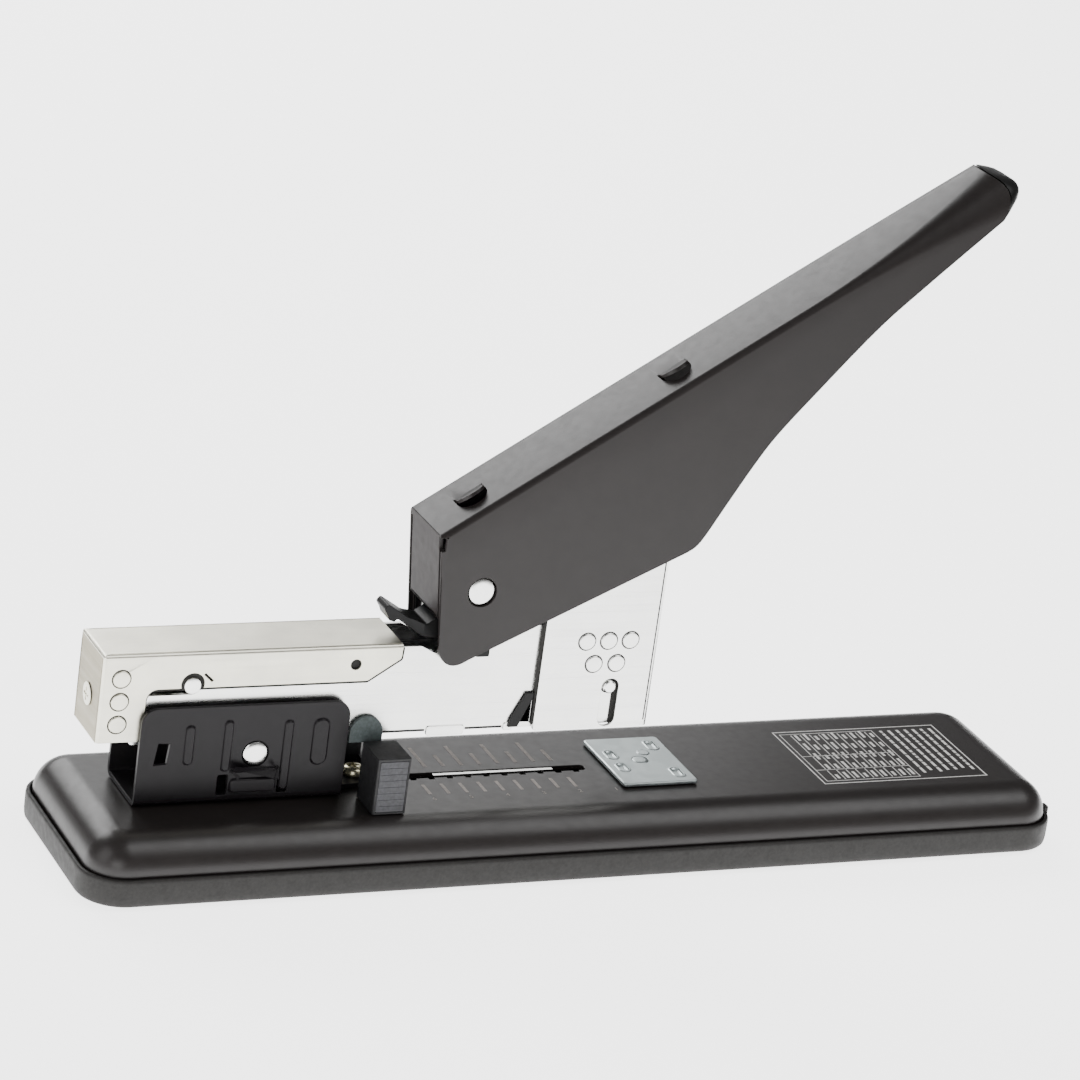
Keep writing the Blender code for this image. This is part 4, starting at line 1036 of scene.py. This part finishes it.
def make_handle():
    """Folded lever: one lofted sheet with an open underside, front flap and lanced tabs."""
    stations = handle_stations()
    tip = stations[-1]
    outer = [handle_section(s, handle_half, 0.0, 0.0) for s in stations[:-1]]
    outer.append(handle_section(tip, handle_half, 0.0, 0.0, 0.0, TIP_BULGE))
    half = handle_half - HANDLE_SHEET
    inside = [Vector((NOSE[0] + HANDLE_SHEET, -41.0, 54.0))] + stations[12:-1]
    inner = [handle_section(s, half, HANDLE_SHEET, 2.0) for s in inside]
    inner += [handle_section(tip, half, HANDLE_SHEET, 2.0, step, TIP_BULGE) for step in (0.3, 8.0)]
    pin = middle_of("handle_pin")
    opening = prism(rectangle((-half + 0.3, half - 0.3), (40, FLAP_BOTTOM), 1.5), -50, -39.0, "x")
    shell = cut(laddered(outer), laddered(inner))
    shell = cut(shell, opening, hole_across(3.85, pin, 64))
    seams = both_sides([(-47.0, 84.6), (-44.0, 84.6), (-41.0, 56.6), (-45.0, 56.6)], 9.1, 9.95)
    relief_cut = rounded([(-47.0, 82.4, 0), (-43.6, 82.7, 0.6), (-43.6, 86.3, 0.8), (-47.0, 85.7, 0)], 4)
    seams.append(prism(relief_cut, -11.5, -8.9, "y"))
    holes, tabs = zip(*[lance(x) for x in LANCE_PLACES])
    shell = fuse(cut(shell, *holes, *seams), *tabs)
    handle = piece("handle", shell, "handle", "handle_paint", ["handle_shell"], 0.14)
    # painted shade: the front flap's faces get a duller, less glossy copy of the handle paint
    shade_rear_faces(handle, "flap_shaded_paint", -40.0)

    plug = [handle_section(stations[-5], half - 0.3, HANDLE_SHEET + 0.3, -1.0)]
    plug.append(handle_section(tip, half - 0.3, HANDLE_SHEET + 0.3, -1.0, 0.3, TIP_BULGE))
    for step, shrink, chin in ((0.35, 0.3, 0.0), (0.6, 0.6, 0.8), (0.8, 1.2, 1.6), (0.9, 2.0, 2.6),
                               (0.92, 3.0, 3.4), (0.9, 4.2, 4.0)):
        inset = shrink * 1.4
        reach = -shrink * 0.1
        plug.append(handle_section(tip, handle_half - shrink, inset, reach, step, TIP_BULGE, chin))
    piece("handle_plug", laddered(plug), "handle", "hook_black", ["handle_end_cap"])
    # painted shade: black strips under the fold seams at the front flap, darkening the gap
    shadow_fillers = both_sides([(-43.6, 84.2), (-43.1, 84.2), (-40.4, 58.6), (-40.9, 58.6)], 8.95, 9.5)
    for side, filler in zip(("near", "far"), shadow_fillers):
        piece("fold_shadow_filler_" + side, filler, "handle", "hook_black")
    stop = prism(rectangle((-30.7, -27.1), (53.0, 56.4), 0.4, 4), -8.2, -6.4, "y")
    piece("handle_stop", stop, "handle", "hook_black", (), 0.12)
    centre = (pin.x, 0, pin.z)
    coil = helix(centre, 5.0, -3.4, 3.4, 4.25, "y")
    points = [coil[0] + Vector((3.0, 0, -9.0))] + coil + [coil[-1] + Vector((14.0, 0, 2.0))]
    piece("handle_torsion_spring", wire(points, 0.6), "handle", "spring_steel", ["handle_return_spring"])


# ======== latch and springs
def make_latch():
    """Release latch: bent black lever that narrows to a small hooked thumb tip."""
    pin = middle_of("latch_pin")
    x, z = pin.x, pin.z
    lever = rounded([(-53.6, 65.9, 0.6), (-54.6, 64.6, 0.6), (-53.6, 63.0, 0.3), (-53.0, 61.6, 0.35),
                     (-51.6, 61.2, 0.3), (-50.8, 61.9, 0.4), (-47.6, 59.7, 0.8), (-44.4, 57.6, 1.0),
                     (x - 3.4, z - 3.4, 1.5), (x + 3.0, z - 3.4, 2.5), (x + 3.2, z + 3.2, 2.5),
                     (x - 3.0, z + 3.0, 2.0), (-43.6, 60.8, 1.0), (-48.0, 62.3, 0.8)], 5)
    body = prism(lever, -4.6, 4.6, "y")
    body = cut(body, hole_across(1.8, pin), block((x - 3.2, x + 12), (-3.2, 3.2), (z - 8, z + 8)))
    taper = ((-58, 3.1), (-47, 3.3), (-43.6, 4.8), (-43.6, 8), (-58, 8))
    sides = [prism([(a, side * b) for a, b in taper], 50, 80, "z") for side in (-1, 1)]
    piece("latch", cut(body, *sides), "latch", "hook_black", ["release_latch"], 0.15, 3)
    coil = helix((x, 0, z), 2.4, -2.6, 2.6, 3.25, "y")
    piece("latch_coil", wire(coil, 0.35), "magazine", "spring_steel", ["latch_spring"])


def make_springs():
    """Coils on the lift, the anvil and the follower rod, as fine wire."""
    for name, spring, radius, thick, turns in (("lift_coil", "lift_spring", 3.4, 0.55, 5),
                                               ("anvil_coil", "anvil_spring", 4.4, 0.4, 3)):
        low, high = box_mm(spring)
        centre = (middle_of(spring).x, 0, 0)
        points = helix(centre, radius, low.z + thick, high.z - thick, turns, "z")
        piece(name, wire(points, thick), "base", "spring_steel", [spring])
    low, high = box_mm("follower_spring")
    centre = (0, 0, middle_of("follower_spring").z)
    points = helix(centre, 1.95, low.x + 0.3, high.x - 0.3, 30, "x", 14)
    piece("follower_coil", wire(points, 0.3, 8), "cover", "spring_steel", ["follower_spring"])


# ======== carried-over nodes
CARRIED = {
    "steel": ["anvil_seat", "bracket_plate", "latch_pin", "staple_rail", "driver_blade", "driver_roller",
              "roller_pin", "follower_rod", "handle_stiffener", "guide_clip"],
    "nickel": ["guide_rail"],
    "zinc": ["driver_carrier"],
    "black_plastic": ["pivot_washer_near", "pivot_washer_far", "cover_tail_block", "staple_follower"],
}


def dress_carried_nodes():
    """Inner parts keep their CAD shape and get a finished surface with softened edges."""
    for look, names in CARRIED.items():
        for name in names:
            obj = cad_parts[name]
            obj.data.materials.clear()
            obj.data.materials.append(LOOKS[look])
            soften(obj, 0.1)


# ======== studio, in metres
FLOOR_LOW = -0.0002
FLOOR_SIZE = 30.0
FLOOR_GLOW = (3.0, 0.4)
FADE_RANGE = (0.20, 0.62)
FADE_WAY = (0.55, -0.83, 0)
WORLD_GLOW = 0.16
LAMPS = (
    ("high_back_softbox", (-0.28, 1.3, 0.95), (0, 0, 0.12), (1.0, 0.8), 18),
    ("low_back_softbox", (0.42, 1.28, 0.62), (0, 0, 0.03), (0.6, 0.7), 2.6),
    ("front_top_softbox", (0.50, -0.42, 1.05), (0, 0, 0.02), (0.8, 0.8), 8),
    ("left_softbox", (-1.5, -0.3, 0.9), (0, 0, 0.05), (1.0, 1.2), 8),
    ("low_front_fill", (-0.55, -0.8, 0.28), (-0.05, 0, 0.07), (0.5, 0.3), 2),
)
CAMERA_PLACE = (-0.4707, -0.9474, 0.4788)
CAMERA_AHEAD = (0.4063, 0.8423, -0.3540)
CAMERA_ROLL = math.radians(8.0)
CAMERA_LENS = 150.41


def make_floor():
    """Very wide pale floor, mottled very faintly, that glows as painted light, brightest near the stapler
    and darker far in front of it.
    """
    bm = bmesh.new()
    bmesh.ops.create_grid(bm, x_segments=8, y_segments=8, size=FLOOR_SIZE)
    floor = new_object("floor", new_mesh("floor", bm))
    look = bpy.data.materials.new("floor")
    look.use_nodes = True
    for name, value in (("Roughness", 0.9), ("Specular IOR Level", 0.1), ("Emission Color", (1, 1, 1, 1))):
        shader_of(look).inputs[name].default_value = value
    tint(look, noise(look, 3, 3), (0.90, 0.90, 0.90), (0.92, 0.92, 0.92))
    place = own_place(look)
    along = node(look, "ShaderNodeVectorMath")
    along.operation = "DOT_PRODUCT"
    along.inputs[1].default_value = FADE_WAY
    join(look, place, along.inputs[0])
    # painted light: the floor's glow strength fades along FADE_WAY
    fade = node(look, "ShaderNodeMapRange", From_Min=FADE_RANGE[0], From_Max=FADE_RANGE[1],
                To_Min=FLOOR_GLOW[0], To_Max=FLOOR_GLOW[1])
    join(look, along.outputs["Value"], fade.inputs["Value"])
    join(look, fade.outputs["Result"], shader_of(look).inputs["Emission Strength"])
    floor.data.materials.append(look)
    floor.location.z = FLOOR_LOW


def make_lamp(name, place, target, size, power):
    """Rectangular soft box at a place, facing a target."""
    data = bpy.data.lights.new(name, "AREA")
    data.shape = "RECTANGLE"
    data.size = size[0]
    data.size_y = size[1]
    data.energy = power
    lamp = new_object(name, data)
    lamp.location = place
    aim = Vector(target) - Vector(place)
    lamp.rotation_mode = "QUATERNION"
    lamp.rotation_quaternion = aim.to_track_quat("-Z", "Y")
    lamp.visible_camera = False


def make_studio():
    """Floor, soft boxes and an even pale surround."""
    make_floor()
    for lamp in LAMPS:
        make_lamp(*lamp)
    world = bpy.data.worlds.new("studio")
    bpy.context.scene.world = world
    world.use_nodes = True
    sky = world.node_tree.nodes["Background"]
    sky.inputs["Color"].default_value = (1, 1, 1, 1)
    sky.inputs["Strength"].default_value = WORLD_GLOW


def make_camera():
    """Long lens from the front left, a little above, rolled as the product is shown."""
    data = bpy.data.cameras.new("camera")
    data.sensor_width = 36
    data.lens = CAMERA_LENS
    data.clip_end = 100
    camera = new_object("camera", data)
    ahead = Vector(CAMERA_AHEAD).normalized()
    level = ahead.cross(Vector((0, 0, 1))).normalized()
    upright = level.cross(ahead).normalized()
    right = level * math.cos(CAMERA_ROLL) + upright * math.sin(CAMERA_ROLL)
    up = upright * math.cos(CAMERA_ROLL) - level * math.sin(CAMERA_ROLL)
    camera.location = CAMERA_PLACE
    camera.rotation_mode = "QUATERNION"
    camera.rotation_quaternion = Matrix((right, up, -ahead)).transposed().to_quaternion()
    bpy.context.scene.camera = camera


for make in (make_camera, make_tray, make_shell, make_feet, make_base_screws, make_depth_scale, make_label,
             make_bracket, make_pivot, make_guide, make_anvil, make_frame, make_head,
             make_small_magazine_parts, make_cover, make_handle, make_latch, make_springs,
             dress_carried_nodes, make_studio):
    make()
